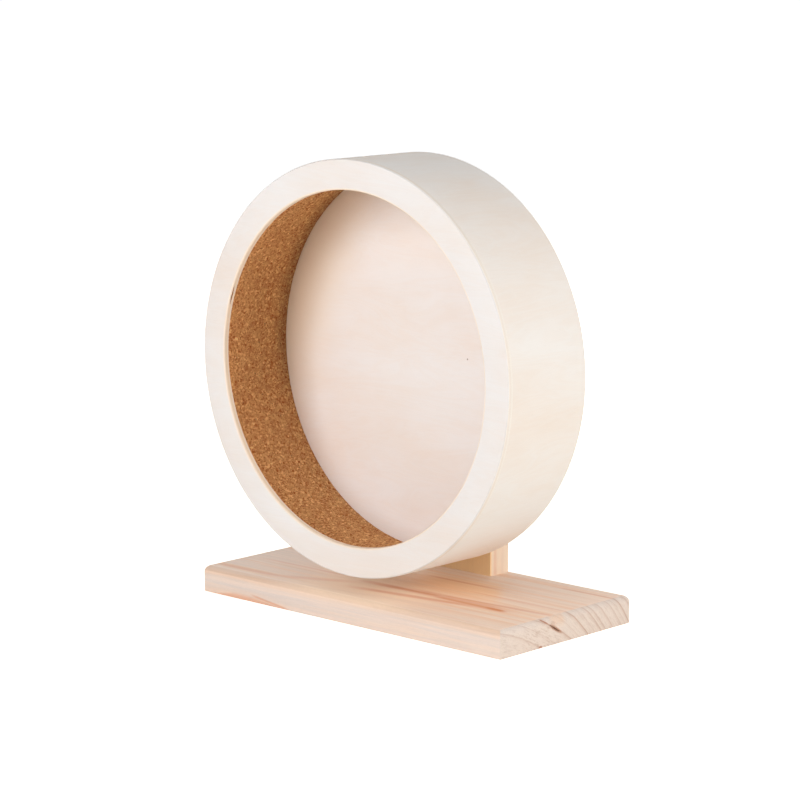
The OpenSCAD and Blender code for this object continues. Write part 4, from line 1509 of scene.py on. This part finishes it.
class WHEEL_OT_spring_washer(bpy.types.Operator):
    """Split spring washer under the cap nut"""
    bl_idname = "exercise_wheel.spring_washer"
    bl_label = "Spring washer"

    def execute(self, context):
        size = turned_size("spring_washer")
        points = node_points("spring_washer")
        top = points[points[:, 2] > AXLE.z + size.inner]
        half_slit = np.arctan2(np.abs(top[:, 0] - AXLE.x), top[:, 2] - AXLE.z).min()
        outline = tube_outline(size, [0.25 * MM] * 4, 4)
        loops = []
        for angle in np.linspace(math.pi / 2 + half_slit, 2.5 * math.pi - half_slit, 90):
            loops.append(np.array([(AXLE.x + r * math.cos(angle), y, AXLE.z + r * math.sin(angle))
                                   for r, y in outline]))
        mesh = joined_loops("spring_washer_split", loops, False)
        piece("spring_washer_zinc", mesh, "stand", ["spring_washer"], [zinc()])
        return {"FINISHED"}


# Stage

WHITE = (1, 1, 1)
LAMP_DISTANCE = 2.2
LAMP_SIZE = 1.3
FLOOR_REACH = 14.0


def aimed(name, data, azimuth, elevation, distance, target):
    """New lamp or camera that looks at a target. Azimuth 0 is the open front and 90 degrees the wheel's
    right."""
    made = link(name, data)
    away = Vector((math.sin(azimuth) * math.cos(elevation), -math.cos(azimuth) * math.cos(elevation),
                   math.sin(elevation)))
    made.location = Vector(target) + away * distance
    made.rotation_euler = (-away).to_track_quat("-Z", "Y").to_euler()
    return made


def lamp(name, azimuth, elevation, share):
    """Square soft lamp aimed at the wheel. share is its light as a part of full light: at 1 it alone
    shows a facing surface in its own colour."""
    light = bpy.data.lights.new(name, "AREA")
    light.shape = "SQUARE"
    light.size = LAMP_SIZE
    light.energy = math.pi ** 2 * LAMP_DISTANCE ** 2 * share
    aimed(name, light, math.radians(azimuth), math.radians(elevation), LAMP_DISTANCE, (0, 0, AXLE.z))


def white_rays(nodes):
    """1 for the rays that see the backdrop: the camera's and those in metal or glass."""
    path = nodes.add("ShaderNodeLightPath").outputs
    kinds = ("Is Camera Ray", "Is Glossy Ray", "Is Transmission Ray")
    return nodes.most(*(Value(nodes, path[kind]) for kind in kinds))


def emptied(owner):
    """Builder for the tree of a material or a world, which is emptied first."""
    owner.use_nodes = True
    owner.node_tree.nodes.clear()
    return Nodes(owner.node_tree)


class WHEEL_OT_stage(bpy.types.Operator):
    """Pale floor, soft studio light and the camera"""
    bl_idname = "exercise_wheel.stage"
    bl_label = "Stage"

    def execute(self, context):
        scene = context.scene
        stage = scene.wheel_stage
        scene.view_settings.view_transform = "Standard"
        self.floor(stage)
        self.backdrop(scene, stage)
        for name, azimuth, elevation, share in (
                ("key_lamp", 1, 13.5, stage.key_share), ("side_lamp", 94, 13.5, stage.side_share),
                ("top_lamp", 0, 62, stage.top_share), ("rear_lamp", 180, 40, stage.rear_share),
                ("back_lamp", 180, 8, stage.back_share), ("left_lamp", -120, 30, stage.left_share)):
            lamp(name, azimuth, elevation, share)
        data = bpy.data.cameras.new("camera")
        data.lens = stage.lens
        data.sensor_width = 36
        data.clip_end = 50
        scene.camera = aimed("camera", data, stage.azimuth, stage.elevation, stage.distance,
                             (stage.aim_x, 0, stage.aim_z))
        return {"FINISHED"}

    def floor(self, stage):
        mesh = bpy.data.meshes.new("floor")
        low = BOARD_LOW.z - 0.2 * MM
        corners = [(x * FLOOR_REACH, y * FLOOR_REACH, low) for x, y in ((-1, -1), (1, -1), (1, 1), (-1, 1))]
        mesh.from_pydata(corners, [], [(0, 1, 2, 3)])
        made = link("floor", mesh)
        paint = bpy.data.materials.new("floor_paint")
        nodes = emptied(paint)
        diffuse = nodes.value("ShaderNodeBsdfDiffuse", {"Color": stage.floor})
        x, y, _ = nodes.parts(nodes.object_space())
        white = nodes.step(nodes.length(x, y), 0.25, 1.2, stage.floor_glow, 1.0)
        glow = nodes.value("ShaderNodeEmission", {"Color": WHITE, "Strength": white_rays(nodes) * white})
        both = nodes.value("ShaderNodeAddShader", {0: diffuse, 1: glow})
        nodes.add("ShaderNodeOutputMaterial", {0: both})
        mesh.materials.append(paint)

    def backdrop(self, scene, stage):
        world = bpy.data.worlds.new("studio")
        nodes = emptied(world)
        light = nodes.value("ShaderNodeBackground", {"Color": WHITE, "Strength": stage.sky})
        white = nodes.value("ShaderNodeBackground", {"Color": WHITE, "Strength": 1.0})
        both = nodes.value("ShaderNodeMixShader", {0: white_rays(nodes), 1: light, 2: white})
        nodes.add("ShaderNodeOutputWorld", {0: both})
        scene.world = world


OPERATORS = (
    WHEEL_OT_front_ring, WHEEL_OT_drum_shell, WHEEL_OT_cork_lining, WHEEL_OT_back_disc, WHEEL_OT_hub_block,
    WHEEL_OT_base_board, WHEEL_OT_rear_post, WHEEL_OT_base_screws, WHEEL_OT_post_dowels, WHEEL_OT_bearings,
    WHEEL_OT_axle_bolt, WHEEL_OT_nuts, WHEEL_OT_washers, WHEEL_OT_spring_washer, WHEEL_OT_stage)
GROUPS = (("wheel_sizes", WheelSizes), ("wheel_colours", WheelColours), ("wheel_stage", WheelStage))


class VIEW3D_PT_exercise_wheel(bpy.types.Panel):
    """Sizes, colours and building steps of the exercise wheel"""
    bl_label = "Exercise Wheel"
    bl_space_type = "VIEW_3D"
    bl_region_type = "UI"
    bl_category = "Exercise Wheel"

    def draw(self, context):
        layout = self.layout
        for attribute, group in GROUPS:
            box = layout.box()
            for name in group.__annotations__:
                box.prop(getattr(context.scene, attribute), name)
        for operator in OPERATORS:
            layout.operator(operator.bl_idname)


def register():
    for cls in (*(group for _, group in GROUPS), *OPERATORS, VIEW3D_PT_exercise_wheel):
        bpy.utils.register_class(cls)
    for attribute, group in GROUPS:
        setattr(bpy.types.Scene, attribute, bpy.props.PointerProperty(type=group))


def unregister():
    for attribute, _ in GROUPS:
        delattr(bpy.types.Scene, attribute)
    for cls in (VIEW3D_PT_exercise_wheel, *reversed(OPERATORS), *(group for _, group in reversed(GROUPS))):
        bpy.utils.unregister_class(cls)


def main():
    register()
    for operator in OPERATORS:
        category, name = operator.bl_idname.split(".")
        getattr(getattr(bpy.ops, category), name)()


if __name__ == "__main__":
    main()
